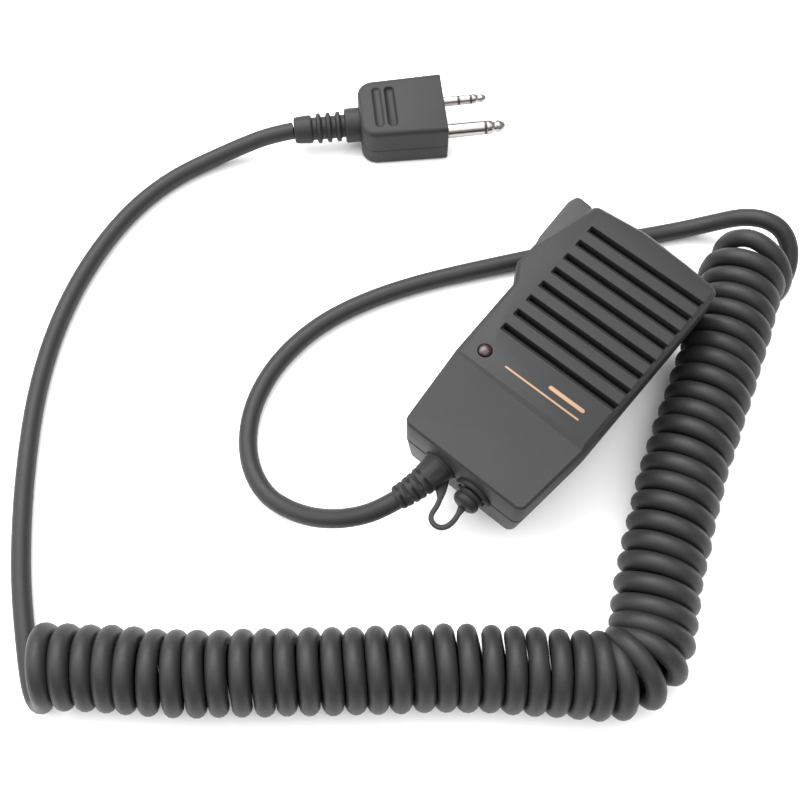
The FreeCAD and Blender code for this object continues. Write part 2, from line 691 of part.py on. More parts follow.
def plug_pins():
    large, small = size("large_pin_radius"), size("small_pin_radius")
    near, far = -(size("pin_spacing") / 2), size("pin_spacing") / 2
    keep(plug_rod("large_sleeve", large, 0, near, 9.4), "plug_large_sleeve")
    keep(plug_rod("large_insulator", large, 9.4, near, 0.6), "plug_large_insulator")
    keep(plug_turned("large_tip", [(0, 0), (large, 0), (large, 1.2), (large * 0.74, 1.9),
                                   (large * 0.72, 2.3), (large * 0.9, 3.0), (large * 0.62, 4.2),
                                   (0, 4.7)], 10.0, near), "plug_large_tip")
    keep(plug_rod("small_sleeve", small, 0, far, 3.9), "plug_small_sleeve")
    rings = [plug_rod("small_insulator", small, x, far, 0.5) for x in (3.9, 7.0)]
    keep(group("small_insulators", *rings), "plug_small_insulators")
    keep(plug_rod("small_ring", small, 4.4, far, 2.6), "plug_small_ring")
    keep(plug_turned("small_tip", [(0, 0), (small, 0), (small, 1.0), (small * 0.74, 1.5),
                                   (small * 0.72, 1.8), (small * 0.9, 2.4), (small * 0.6, 3.3),
                                   (0, 3.7)], 7.5, far), "plug_small_tip")


# ---- belt clip ---------------------------------------------------------------------------------

def clip():
    y = size("clip_y")
    base_low = size("clip_base_z")
    base_top = base_low + size("clip_base_thick")
    seat_low = base_top + 0.2
    seat = rod("post_seat", 6.0, size("back_z") - seat_low, 0, y, seat_low)
    stem_low = base_low - 0.2
    stem = rod("post_stem", size("post_radius"), size("back_z") + 2.4 - stem_low, 0, y, stem_low)
    thread = rod("post_thread", 0.9, 6.5, 0, y, stem_low - 0.5)
    keep(cut("post", fuse("post_solid", seat, stem), thread), "clip_swivel_post")
    keep(ring("washer", 4.3, 0.95, 0.6, 0, y, stem_low - 0.6), "clip_washer")
    head = rod("post_screw_head", 2.2, 0.9, 0, y, stem_low - 1.5)
    shank = rod("post_screw_shank", 0.9, 5.4, 0, y, stem_low - 1)
    keep(fuse("post_screw", head, shank), "clip_post_screw")
    clip_base(base_low, base_top)
    clip_jaw()
    hinge = rod("hinge_rod", size("hinge_radius"), size("clip_width") + 0.6,
                -(size("clip_width") / 2) - 0.3, size("hinge_y"), size("hinge_z"), "x")
    keep(hinge, "clip_hinge_pin")
    keep(ring("spring_coil", 1.55, 1.05, 8.2, -4.1, size("hinge_y"), size("hinge_z"), "x"),
         "clip_spring")


def clip_base(low, top):
    """The plate that swivels on the post, with two ears that hold the hinge pin."""
    half = size("clip_width") / 2
    plate = prism("base_plate", [(-half + 2, -17.5), (half - 2, -17.5), (half, -15.5), (half, 13.0),
                                 (-half, 13.0), (-half, -15.5)], low, top)
    ears = []
    hinge_y, hinge_z = size("hinge_y"), size("hinge_z")
    for side in (-1, 1):
        near, far = (half - 1) * side, half * side
        x = (near, far) if side > 0 else (far, near)
        ears.append(block("base_ear", x, (hinge_y - 1.6, hinge_y + 1.6), (hinge_z, low + 0.1)))
        ears.append(rod("base_knuckle", size("knuckle_radius"), 1, x[0], hinge_y, hinge_z, "x"))
    eye = rod("base_eye", size("post_radius") + size("running_gap"), 4, 0, size("clip_y"), low - 1)
    bore = rod("base_pin_hole", size("hinge_radius"), 16, -8, hinge_y, hinge_z, "x")
    keep(cut("base", fuse("base_solid", plate, *ears), eye, bore), "clip_base")


def clip_jaw():
    """The sprung arm: a jaw with a lip on one side of the hinge, a thumb pad on the other."""
    half = size("jaw_width") / 2
    thick = size("jaw_thick")
    hinge_y, hinge_z = size("hinge_y"), size("hinge_z")
    plate = prism("jaw_plate", [(-half + 2, -18.0), (half - 2, -18.0), (half, -16.0), (half, 18.0),
                                (half - 2, 20.0), (-half + 2, 20.0), (-half, 18.0),
                                (-half, -16.0)], 0, thick)
    lip = block("jaw_lip", (-half + 2, half - 2), (-18.0, -16.4),
                (thick - 0.1, size("clip_base_z") - 0.2))
    grips = [block("thumb_grip", (-half + 1, half - 1), (as_size(y), as_size(y) + 0.7),
                   (thick - 0.1, thick + 0.4)) for y in (13.4, 15.2, 17.0)]
    ears = []
    for side in (-1, 1):
        near, far = (half - 1) * side, half * side
        x = (near, far) if side > 0 else (far, near)
        ears.append(block("jaw_ear", x, (hinge_y - 1.6, hinge_y + 1.6), (thick - 0.1, hinge_z)))
        ears.append(rod("jaw_knuckle", size("knuckle_radius"), 1, x[0], hinge_y, hinge_z, "x"))
    bore = rod("jaw_pin_hole", size("hinge_radius") + size("running_gap"), 16, -8, hinge_y,
               hinge_z, "x")
    keep(cut("jaw", fuse("jaw_solid", plate, lip, *grips, *ears), bore), "clip_jaw")


# ---- tether ------------------------------------------------------------------------------------

def cap_tether():
    """A thin rubber strap that hangs in a loop from the strain relief's side to the cap."""
    root, middle, tip = boot_places()
    x, y = DIMENSIONS["case_x"], DIMENSIONS["case_y"]
    z = 16.9
    path = [Vector(*place_, z) for place_ in (
        (x - 1.3, y - 35.4), (x - 0.9, y - 38.2), (x - 0.1, y - 41.4), (x + 1.0, y - 43.6),
        (x + 3.2, y - 44.0), (x + 4.6, y - 42.0), (x + 4.3, y - 39.8), (x + 3.9, y - 37.7))]
    edges, radii = route_edges(path)
    wire = Part.Wire(edges)
    section = Part.Wire([Part.makeCircle(0.5, path[0], path[1] - path[0])])
    obj = doc.addObject("Part::Feature", "tether")
    obj.Shape = wire.makePipeShell([section], True, False)
    keep(obj, "cap_tether")


# ---- the whole microphone ----------------------------------------------------------------------

def check_everything():
    for obj in doc.Objects:
        if "Invalid" in obj.State or "Error" in obj.State:
            raise RuntimeError("%s (%s) is %s" % (obj.Name, obj.Label, obj.State))
    for obj in sub_parts:
        if obj.Shape.isNull() or not obj.Shape.isValid() or not obj.Shape.Solids:
            raise RuntimeError("%s has no valid solid" % obj.Label)


def write_parts():
    os.makedirs("parts", exist_ok=True)
    for obj in sub_parts:
        obj.Shape.exportStep("parts/%s.step" % obj.Label)


def main():
    fill_sheet()
    for make in (front_shell, rear_shell, case_screws, push_to_talk_lever, switch, speaker,
                 microphone, lamp, circuit_board, jack, jack_cap, strain_relief, inner_cord, cord,
                 cap_tether, plug_body, plug_boot, plug_pins, clip):
        make()
    doc.recompute()
    check_everything()
    write_parts()
    print("%d sub-parts" % len(sub_parts))


main()
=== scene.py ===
"""The looks of the hand microphone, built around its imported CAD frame.

The cord's section is in metres.  All other pieces are drawn in millimetres, and piece_from() scales
them to metres.  Places on the case are measured from its middle, as in the CAD, and on_case()
carries them to the frame.  Places on the plug are measured from the middle of its flat front.
"""
import json
import math

import bmesh
import bpy
from mathutils import Matrix, Vector


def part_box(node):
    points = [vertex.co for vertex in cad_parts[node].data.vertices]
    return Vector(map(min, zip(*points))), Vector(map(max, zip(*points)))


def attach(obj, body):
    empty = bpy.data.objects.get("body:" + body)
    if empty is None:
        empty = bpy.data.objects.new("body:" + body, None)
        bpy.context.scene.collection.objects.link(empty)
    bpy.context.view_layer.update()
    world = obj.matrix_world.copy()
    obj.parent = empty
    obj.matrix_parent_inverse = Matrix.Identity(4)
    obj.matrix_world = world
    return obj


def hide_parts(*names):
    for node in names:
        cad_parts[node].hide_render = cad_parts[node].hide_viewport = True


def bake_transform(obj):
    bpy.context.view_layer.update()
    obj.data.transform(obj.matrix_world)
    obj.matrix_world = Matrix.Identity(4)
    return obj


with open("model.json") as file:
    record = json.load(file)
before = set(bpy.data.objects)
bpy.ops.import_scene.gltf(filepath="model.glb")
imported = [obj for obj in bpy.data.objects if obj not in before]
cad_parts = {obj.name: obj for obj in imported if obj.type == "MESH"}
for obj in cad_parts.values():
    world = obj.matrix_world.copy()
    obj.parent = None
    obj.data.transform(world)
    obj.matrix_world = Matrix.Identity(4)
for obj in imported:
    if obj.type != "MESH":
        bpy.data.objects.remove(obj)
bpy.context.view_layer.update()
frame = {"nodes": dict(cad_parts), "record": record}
MM = 0.001


# ---- places read from the frame ----------------------------------------------------------------

def middle(node):
    low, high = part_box(node)
    return (low + high) / 2 / MM


CASE_LENGTH = 67.0
CASE_WIDTH = 34.8
FACE_Z = 27.0
PARTING_Z = 18.0
BACK_Z = 9.0
CASE_X = middle("clip_swivel_post").x
CASE_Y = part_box("front_shell")[0].y / MM + CASE_LENGTH / 2
PLUG_YAW = math.radians(46.5)
PLUG_PLACE = Vector((-62.9, 47.35, 0))
FLOOR_SIDE = 6.0


def on_case(x, y, z):
    return Vector((CASE_X + x, CASE_Y + y, z))


ON_CASE = Matrix.Translation((CASE_X, CASE_Y, 0))
ON_PLUG = Matrix.Translation(PLUG_PLACE) @ Matrix.Rotation(PLUG_YAW, 4, "Z")
DOWN_THE_CASE = Matrix.Rotation(math.pi / 2, 4, "X")      # local +Z to -Y
ALONG_X = Matrix.Rotation(math.pi / 2, 4, "Y")            # local +Z to +X


# ---- camera ------------------------------------------------------------------------------------

def camera():
    data = bpy.data.cameras.new("camera")
    data.angle = math.radians(39.65)
    data.clip_start = 0.01
    obj = bpy.data.objects.new("camera", data)
    bpy.context.scene.collection.objects.link(obj)
    obj.location = (0.04025, -0.09305, 0.23442)
    aim = Vector((-0.02364, -0.01676, 0)) - obj.location
    obj.rotation_euler = aim.to_track_quat("-Z", "Y").to_euler()
    bpy.context.scene.camera = obj


# ---- cord --------------------------------------------------------------------------------------

CORD_RADIUS = 0.0021
TURN_RADIUS = 0.0069              # from the coil's middle line to the cord's
TURN_COUNT = 49.5
POINTS_PER_TURN = 14
HELIX_START = 0.0158              # from the start of the coil's middle line
HELIX_STOP = 0.0050               # before its end
CORNER_TURN = 22.0                # the turn on which the coil goes round its corner
CORNER_REACH = 3.0                # how many turns on each side of it feel the corner
CORNER_LIFT = 0.0016              # every other turn there rides up on its left side
CORNER_TUCK = 0.0017              # the undersides there stay back, and close the gaps above them
LEAD_ROUTE = [
    (-0.00555, -0.0392, 0.0153), (-0.0072, -0.0429, 0.0140), (-0.0101, -0.0464, 0.0119),
    (-0.0139, -0.0494, 0.0094), (-0.0187, -0.0519, 0.0068), (-0.0246, -0.0535, 0.0044),
    (-0.0312, -0.0539, 0.0027), (-0.0382, -0.0512, 0.00215), (-0.0438, -0.0462, 0.00215),
    (-0.0478, -0.0398, 0.00215), (-0.0502, -0.0322, 0.00215), (-0.0509, -0.0240, 0.00215),
    (-0.0498, -0.0144, 0.00215), (-0.0460, -0.0038, 0.00215), (-0.0396, 0.0078, 0.00215),
    (-0.0316, 0.0192, 0.00215), (-0.0232, 0.0306, 0.00215), (-0.0144, 0.0422, 0.00215),
    (-0.0066, 0.0520, 0.00215), (0.0004, 0.0606, 0.0023), (0.0056, 0.0656, 0.0048),
    (0.0106, 0.0685, 0.0092),
]
# The loose first turn and a half: over the top of the coil, back under it, and over once more.
FIRST_LOOP = [
    (0.0156, 0.0703, 0.0110), (0.0202, 0.0710, 0.0102), (0.0244, 0.0696, 0.0072),
    (0.0270, 0.0656, 0.0038), (0.0270, 0.0610, 0.0022), (0.0226, 0.0580, 0.00215),
    (0.0168, 0.0568, 0.00215), (0.0128, 0.0574, 0.0048), (0.0118, 0.0583, 0.0096),
    (0.0130, 0.0587, 0.0144), (0.0168, 0.0596, 0.0174), (0.0224, 0.0600, 0.0164),
    (0.0266, 0.0598, 0.0126), (0.0282, 0.0590, 0.0080), (0.0272, 0.0570, 0.0034),
    (0.0230, 0.0546, 0.00215), (0.0170, 0.0522, 0.00215), (0.0126, 0.0518, 0.0046),
]
# The last turn comes down on its near side and runs out along the surface.
LAST_LOOP = [(-0.0345, -0.1154, 0.0054), (-0.0362, -0.1162, 0.0028), (-0.0396, -0.1153, 0.00215)]
TAIL_ROUTE = [
    (-0.0486, -0.1088, 0.00215), (-0.0580, -0.1014, 0.00215), (-0.0674, -0.0926, 0.00215),
    (-0.0772, -0.0822, 0.00215), (-0.0870, -0.0704, 0.00215), (-0.0952, -0.0576, 0.00215),
    (-0.1012, -0.0442, 0.00215), (-0.1048, -0.0308, 0.00215), (-0.1060, -0.0184, 0.00215),
    (-0.1046, -0.0070, 0.00215), (-0.1008, 0.0028, 0.0026), (-0.0964, 0.0104, 0.0044),
    (-0.0926, 0.0157, 0.0060), (-0.0889, 0.0200, 0.0065),
]
COIL_ROUTE = [
    (0.0142, 0.0704), (0.0187, 0.0582), (0.0231, 0.0464), (0.0274, 0.0341), (0.0312, 0.0221),
    (0.0347, 0.0108), (0.0383, 0.0009), (0.0420, -0.0080), (0.0459, -0.0172),
    (0.0556, -0.0346), (0.0398, -0.0456), (0.0342, -0.0498), (0.0284, -0.0540),
    (0.0186, -0.0624), (0.0088, -0.0712), (-0.0012, -0.0800), (-0.0106, -0.0880),
    (-0.0192, -0.0956), (-0.0296, -0.1024), (-0.0432, -0.1134),
]
# How far apart the turns lie, as shares of the usual distance: (turn, share).
PITCHES = [(0, 0.98), (3, 0.97), (18, 0.98), (20, 0.86), (24, 0.86), (27, 1.01), (44, 1.00),
           (TURN_COUNT, 0.93)]
# How much wider than the rest the turns are: (turn, extra radius).
WIDER = [(0, 0.0007), (1, 0.0003), (14, 0.0002), (19, 0.0), (22, 0.0001), (25, -0.0002),
         (TURN_COUNT, -0.00035)]
# How far the turns lean back along the coil on their near side: (turn, lean).
LEANS = [(0, 0.0), (20, 0.0), (26, 0.0012), (44, 0.0013), (TURN_COUNT, 0.0016)]


def between(table, at):
    """The value at a place in a table of (place, value) rows, with straight lines between them."""
    for (start, low), (end, high) in zip(table, table[1:]):
        if at <= end:
            return low + (high - low) * max(0.0, at - start) / (end - start)
    return table[-1][1]


def nurbs(name, points, radius):
    """A curve of one open spline with the points as its control points, in metres."""
    data = bpy.data.curves.new(name, "CURVE")
    data.dimensions = "3D"
    spline = data.splines.new("NURBS")
    spline.points.add(len(points) - 1)
    for control, point in zip(spline.points, points):
        control.co = (*point, 1)
    spline.order_u = 3
    spline.use_endpoint_u = True
    spline.resolution_u = 4
    data.bevel_depth = radius
    data.bevel_resolution = 5
    data.use_fill_caps = radius > 0
    obj = bpy.data.objects.new(name, data)
    bpy.context.scene.collection.objects.link(obj)
    return obj


def line_of(points):
    """Points read along the smooth line that a route's points control, in metres."""
    curve = nurbs("route", points, 0)
    mesh = bpy.data.meshes.new_from_object(curve)
    line = [vertex.co.copy() for vertex in mesh.vertices]
    bpy.data.meshes.remove(mesh)
    bpy.data.objects.remove(curve)
    return line


class Line:
    """A place and a heading at any distance along a line of points, in the points' own units."""

    def __init__(self, points):
        self.points = points
        self.along = [0.0]
        for before, here in zip(points, points[1:]):
            self.along.append(self.along[-1] + (here - before).length)
        self.length = self.along[-1]

    def place(self, distance):
        distance = min(max(distance, 0.0), self.length)
        index = 1
        while self.along[index] < distance and index < len(self.points) - 1:
            index += 1
        share = (distance - self.along[index - 1]) / (self.along[index] - self.along[index - 1])
        return self.points[index - 1].lerp(self.points[index], share)

    def heading(self, distance, reach):
        return (self.place(distance + reach) - self.place(distance - reach)).normalized()


def turn_places(first, last):
    """How far along the coil's middle line each of its points is, turn by turn."""
    raw = [0.0]
    for step in range(int(TURN_COUNT * POINTS_PER_TURN)):
        raw.append(raw[-1] + between(PITCHES, step / POINTS_PER_TURN))
    return [first + (last - first) * value / raw[-1] for value in raw]


def coil_points():
    """The helix: left-handed, from the left side of the first turn to the near side of the last.

    Each turn is a little uneven, leans as LEANS says, and is lifted and drawn back at the corner.
    """
    line = Line(line_of([(x, y, 0) for x, y in COIL_ROUTE]))
    # The spline runs a little inside its control points, so they lie that much further out.
    hold = 4 / (3 + math.cos(2 * math.pi / POINTS_PER_TURN))
    points = []
    for index, distance in enumerate(turn_places(HELIX_START, line.length - HELIX_STOP)):
        turn = index / POINTS_PER_TURN
        angle = math.pi - 2 * math.pi * turn
        ahead = line.heading(distance, 0.003)
        across = Vector((-ahead.y, ahead.x, 0))
        uneven = 0.00006 * math.sin(2.1 * turn) + 0.00005 * math.sin(5.3 * turn + 1)
        radius = TURN_RADIUS + between(WIDER, turn) + uneven
        at_corner = max(0.0, 1 - abs(turn - CORNER_TURN) / CORNER_REACH)
        lift = CORNER_LIFT * max(0.0, -math.cos(angle)) * at_corner * (-1) ** int(turn + 0.25)
        lean = 0.00012 * math.sin(1.7 * turn) - between(LEANS, turn) * math.cos(angle)
        lean -= CORNER_TUCK * max(0.0, -math.sin(angle)) * at_corner
        place = line.place(distance) + across * radius * hold * math.cos(angle) + ahead * lean
        place.z = radius + CORD_RADIUS + radius * hold * math.sin(angle) + lift
        place.z = max(place.z, CORD_RADIUS)
        points.append(place)
    return points


def cord():
    points = [Vector(point) for point in LEAD_ROUTE + FIRST_LOOP]
    points += coil_points()
    points += [Vector(point) for point in LAST_LOOP + TAIL_ROUTE]
    piece = nurbs("curly_cord", points, CORD_RADIUS)
    piece.data.materials.append(MATERIALS["cord_jacket"])
    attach(piece, "case")
    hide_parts("cord_lead", "cord_tail", "cord_coil_side", "cord_coil_front")
    return piece, points[0]


# ---- materials ---------------------------------------------------------------------------------

MATERIALS = {}


def material(slot, colour, roughness, metallic=0.0, grain=3500, bump=0.05, shade=0.12, wear=0.0,
             rough_spread=0.08, coat=0.0, stretch=(1, 1, 1), shine=0.5):
    """A procedural surface: broad colour variation, a fine grain that also moves the roughness,
    and edges that are a little paler where they are worn."""
    mat = bpy.data.materials.new(slot)
    mat.use_nodes = True
    nodes, link = mat.node_tree.nodes, mat.node_tree.links.new
    shader = nodes["Principled BSDF"]
    shader.inputs["Metallic"].default_value = metallic
    shader.inputs["Coat Weight"].default_value = coat
    shader.inputs["Specular IOR Level"].default_value = shine
    where = nodes.new("ShaderNodeTexCoord")
    mapping = nodes.new("ShaderNodeMapping")
    mapping.inputs["Scale"].default_value = stretch
    link(where.outputs["Object"], mapping.inputs["Vector"])

    broad = nodes.new("ShaderNodeTexNoise")
    broad.inputs["Scale"].default_value = 130
    broad.inputs["Detail"].default_value = 5
    fine = nodes.new("ShaderNodeTexNoise")
    fine.inputs["Scale"].default_value = grain
    fine.inputs["Detail"].default_value = 3
    for noise in (broad, fine):
        link(mapping.outputs["Vector"], noise.inputs["Vector"])

    tone = nodes.new("ShaderNodeMix")
    tone.data_type = "RGBA"
    tone.inputs["A"].default_value = (*[c * (1 - shade) for c in colour], 1)
    tone.inputs["B"].default_value = (*[min(1, c * (1 + shade)) for c in colour], 1)
    link(broad.outputs["Fac"], tone.inputs["Factor"])
    surface = tone.outputs["Result"]
    if wear:
        surface = worn_edges(nodes, link, surface, colour, wear)
    link(surface, shader.inputs["Base Color"])

    rough = nodes.new("ShaderNodeMapRange")
    rough.inputs["To Min"].default_value = roughness - rough_spread
    rough.inputs["To Max"].default_value = min(1.0, roughness + rough_spread)
    link(fine.outputs["Fac"], rough.inputs["Value"])
    link(rough.outputs["Result"], shader.inputs["Roughness"])

    relief = nodes.new("ShaderNodeBump")
    relief.inputs["Strength"].default_value = bump
    relief.inputs["Distance"].default_value = 0.0002
    link(fine.outputs["Fac"], relief.inputs["Height"])
    link(relief.outputs["Normal"], shader.inputs["Normal"])
    MATERIALS[slot] = mat
    return mat


def worn_edges(nodes, link, surface, colour, wear):
    geometry = nodes.new("ShaderNodeNewGeometry")
    edge = nodes.new("ShaderNodeMapRange")
    edge.inputs["From Min"].default_value = 0.52
    edge.inputs["From Max"].default_value = 0.62
    edge.inputs["To Max"].default_value = wear
    link(geometry.outputs["Pointiness"], edge.inputs["Value"])
    pale = nodes.new("ShaderNodeMix")
    pale.data_type = "RGBA"
    pale.inputs["B"].default_value = (*[min(1, c * 2.2 + 0.02) for c in colour], 1)
    link(edge.outputs["Result"], pale.inputs["Factor"])
    link(surface, pale.inputs["A"])
    return pale.outputs["Result"]


def make_materials():
    material("case_plastic", (0.017, 0.0172, 0.0177), 0.5, bump=0.12, wear=0.35, shine=0.2)
    material("lever_plastic", (0.03, 0.0302, 0.031), 0.48, bump=0.1, wear=0.3, shine=0.25)
    material("soft_rubber", (0.014, 0.014, 0.0144), 0.55, grain=2200, bump=0.08, shade=0.18,
             shine=0.25)
    material("cord_jacket", (0.015, 0.0151, 0.0153), 0.5, grain=1800, bump=0.06, shade=0.16,
             rough_spread=0.12, shine=0.25)
    material("steel", (0.55, 0.55, 0.56), 0.32, 1.0, grain=900, stretch=(1, 8, 1))
    material("zinc_screw", (0.2, 0.2, 0.205), 0.4, 1.0, grain=1500)
    material("nickel", (0.3, 0.285, 0.27), 0.24, 1.0, grain=700, bump=0.02, shade=0.05,
             rough_spread=0.06)
    material("insulator", (0.015, 0.015, 0.015), 0.35, grain=2500)
    material("board_green", (0.02, 0.13, 0.05), 0.35, grain=1200, coat=0.5)
    material("component_mix", (0.03, 0.03, 0.032), 0.5)
    material("white_plastic", (0.62, 0.6, 0.54), 0.45)
    material("cone_paper", (0.06, 0.06, 0.06), 0.85, grain=1500, bump=0.3)
    material("magnet", (0.08, 0.08, 0.085), 0.6, grain=1400, bump=0.2)
    material("copper", (0.62, 0.26, 0.12), 0.35, 1.0, grain=5000, stretch=(1, 1, 12))
    material("alu", (0.7, 0.7, 0.71), 0.3, 1.0, grain=1000)
    material("gold_ink", (0.27, 0.17, 0.105), 0.55, grain=6000, bump=0.05, shade=0.1, shine=0.2)
    make_cloth()
    make_lamp()


def make_cloth():
    """Black speaker cloth: two sets of threads, from waves across and along the face."""
    mat = material("cloth", (0.003, 0.003, 0.003), 0.95, bump=0.2, shine=0.05)
    nodes, link = mat.node_tree.nodes, mat.node_tree.links.new
    where = nodes.new("ShaderNodeTexCoord")
    threads = []
    for direction in ("X", "Y"):
        wave = nodes.new("ShaderNodeTexWave")
        wave.bands_direction = direction
        wave.inputs["Scale"].default_value = 900
        link(where.outputs["Object"], wave.inputs["Vector"])
        threads.append(wave)
    both = nodes.new("ShaderNodeMath")
    both.operation = "MAXIMUM"
    for socket, wave in zip(both.inputs, threads):
        link(wave.outputs["Fac"], socket)
    relief = nodes.new("ShaderNodeBump")
    relief.inputs["Strength"].default_value = 0.6
    relief.inputs["Distance"].default_value = 0.0001
    link(both.outputs["Value"], relief.inputs["Height"])
    link(relief.outputs["Normal"], nodes["Principled BSDF"].inputs["Normal"])


def make_lamp():
    """A red lens with a painted highlight: its colour is paler towards a spot just off its middle
    and darker red further out.
    """
    mat = material("lamp_red", (0.2, 0.012, 0.02), 0.3, grain=1500, bump=0.02, coat=0.1)
    nodes, link = mat.node_tree.nodes, mat.node_tree.links.new
    centre = middle("status_lamp") * MM
    where = nodes.new("ShaderNodeTexCoord")
    shift = nodes.new("ShaderNodeVectorMath")
    shift.operation = "SUBTRACT"
    shift.inputs[1].default_value = (centre.x + 0.0001, centre.y + 0.00015, FACE_Z * MM)
    link(where.outputs["Object"], shift.inputs[0])
    away = nodes.new("ShaderNodeVectorMath")
    away.operation = "LENGTH"
    link(shift.outputs["Vector"], away.inputs[0])
    # Painted highlight: the ramp gives pale red near the spot and darker red further out.
    ramp = nodes.new("ShaderNodeValToRGB")
    ramp.color_ramp.elements[0].color = (0.05, 0.012, 0.015, 1)
    ramp.color_ramp.elements[0].position = 0.25
    ramp.color_ramp.elements[1].color = (0.012, 0.001, 0.002, 1)
    ramp.color_ramp.elements[1].position = 0.65
    spread = nodes.new("ShaderNodeMapRange")
    spread.inputs["From Max"].default_value = 0.0015
    link(away.outputs["Value"], spread.inputs["Value"])
    link(spread.outputs["Result"], ramp.inputs["Fac"])
    link(ramp.outputs["Color"], nodes["Principled BSDF"].inputs["Base Color"])


# ---- mesh helpers ------------------------------------------------------------------------------

def piece_from(name, bm, matrix=None, sharp=35):
    """A new object from a mesh drawn in millimetres, with its sharper edges left crisp."""
    if matrix is not None:
        bmesh.ops.transform(bm, matrix=matrix, verts=bm.verts)
    bmesh.ops.scale(bm, vec=(MM, MM, MM), verts=bm.verts)
    bmesh.ops.recalc_face_normals(bm, faces=bm.faces)
    mesh = bpy.data.meshes.new(name)
    bm.to_mesh(mesh)
    bm.free()
    obj = bpy.data.objects.new(name, mesh)
    bpy.context.scene.collection.objects.link(obj)
    crisp(obj, sharp)
    return obj


def crisp(obj, sharp=35):
    obj.data.shade_smooth()
    obj.data.set_sharp_from_angle(angle=math.radians(sharp))


def finish_piece(obj, slot, body, *nodes):
    """Gives a piece its material and body, and hides the CAD nodes that it stands for."""
    obj.data.materials.clear()
    obj.data.materials.append(MATERIALS[slot])
    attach(obj, body)
    if nodes:
        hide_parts(*nodes)
    return obj


def join_rings(bm, rings):
    """Skins a row of rings of points and closes its ends; a ring of one point is a pole."""
    made = [[bm.verts.new(point) for point in ring] for ring in rings]
    for lower, upper in zip(made, made[1:]):
        count = max(len(lower), len(upper))
        for index in range(count):
            after = (index + 1) % count
            if len(lower) == 1:
                bm.faces.new((lower[0], upper[after], upper[index]))
            elif len(upper) == 1:
                bm.faces.new((lower[index], lower[after], upper[0]))
            else:
                bm.faces.new((lower[index], lower[after], upper[after], upper[index]))
    for ring in (made[0], made[-1]):
        if len(ring) > 2:
            bm.faces.new(ring)


def softened(profile, passes=2, ratio=0.2):
    """Rounds the corners of an open outline by cutting them, and keeps its two ends."""
    points = [Vector(point) for point in profile]
    for _ in range(passes):
        cut = [points[0]]
        for before, here, after in zip(points, points[1:], points[2:]):
            cut.append(here.lerp(before, ratio))
            cut.append(here.lerp(after, ratio))
        points = cut + [points[-1]]
    return points


def round_angles(count):
    """Angles evenly spaced round a full turn."""
    return [2 * math.pi * step / count for step in range(count)]


def turned_piece(name, profile, matrix, steps=64, sharp=35):
    """Turns (radius, height) points about local Z; an end on the axis closes to a pole."""
    rings = []
    for radius, height in profile:
        on_axis = radius < 1e-6
        rings.append([Vector((0, 0, height))] if on_axis else
                     [Vector((radius * math.cos(a), radius * math.sin(a), height))
                      for a in round_angles(steps)])
    bm = bmesh.new()
    join_rings(bm, rings)
    return piece_from(name, bm, matrix, sharp)


def rounded_outline(corners, steps=6):
    """A closed outline with each corner, (x, y, radius), drawn as an arc."""
    points = []
    for index, (x, y, radius) in enumerate(corners):
        here = Vector((x, y))
        back = (Vector(corners[index - 1][:2]) - here).normalized()
        ahead = (Vector(corners[(index + 1) % len(corners)][:2]) - here).normalized()
        half = back.angle(ahead) / 2
        centre = here + (back + ahead).normalized() * radius / math.sin(half)
        first = here + back * radius / math.tan(half) - centre
        last = here + ahead * radius / math.tan(half) - centre
        whole = first.angle(last)
        for step in range(steps + 1):
            share = step / steps
            spoke = first * math.sin((1 - share) * whole) + last * math.sin(share * whole)
            points.append(centre + spoke / math.sin(whole))
    return points


def drawn_in(outline, inset):
    """The outline moved inward all round."""
    points = []
    for index, here in enumerate(outline):
        before, after = outline[index - 1], outline[(index + 1) % len(outline)]
        along = (after - before).normalized()
        inward = Vector((-along.y, along.x))
        points.append(here + inward * inset)
    return points


def stack(bm, levels):
    """A solid skinned through plan outlines given as (outline, height)."""
    join_rings(bm, [[Vector((p.x, p.y, z)) for p in outline] for outline, z in levels])


def settle(obj):
    """Makes an object's modifiers part of its mesh."""
    graph = bpy.context.evaluated_depsgraph_get()
    mesh = bpy.data.meshes.new_from_object(obj.evaluated_get(graph))
    obj.modifiers.clear()
    obj.data = mesh
    return obj


def combine(operation, obj, others):
    """Adds other solids to an object or takes them away from it, and uses them up."""
    for other in others:
        modifier = obj.modifiers.new("combine", "BOOLEAN")
        modifier.operation = operation
        modifier.solver = "EXACT"
        modifier.object = other
    settle(obj)
    for other in others:
        bpy.data.objects.remove(other)
    return obj


def carve(obj, *cutters):
    return combine("DIFFERENCE", obj, cutters)


def merge(obj, *others):
    return combine("UNION", obj, others)


def block(name, low, high):
    """A box between two corners on the case."""
    bm = bmesh.new()
    (x0, y0, z0), (x1, y1, z1) = low, high
    flat = [Vector(corner) for corner in ((x0, y0), (x1, y0), (x1, y1), (x0, y1))]
    stack(bm, [(flat, z0), (flat, z1)])
    return piece_from(name, bm, ON_CASE)


def rod(name, radius, low, high, matrix, steps=48, edge=0.0):
    """A round bar along local Z, with its ends chamfered by the edge."""
    profile = [(0, low), (radius - edge, low), (radius, low + edge), (radius, high - edge),
               (radius - edge, high), (0, high)]
    if not edge:
        profile = [(0, low), (radius, low), (radius, high), (0, high)]
    return turned_piece(name, profile, matrix, steps)


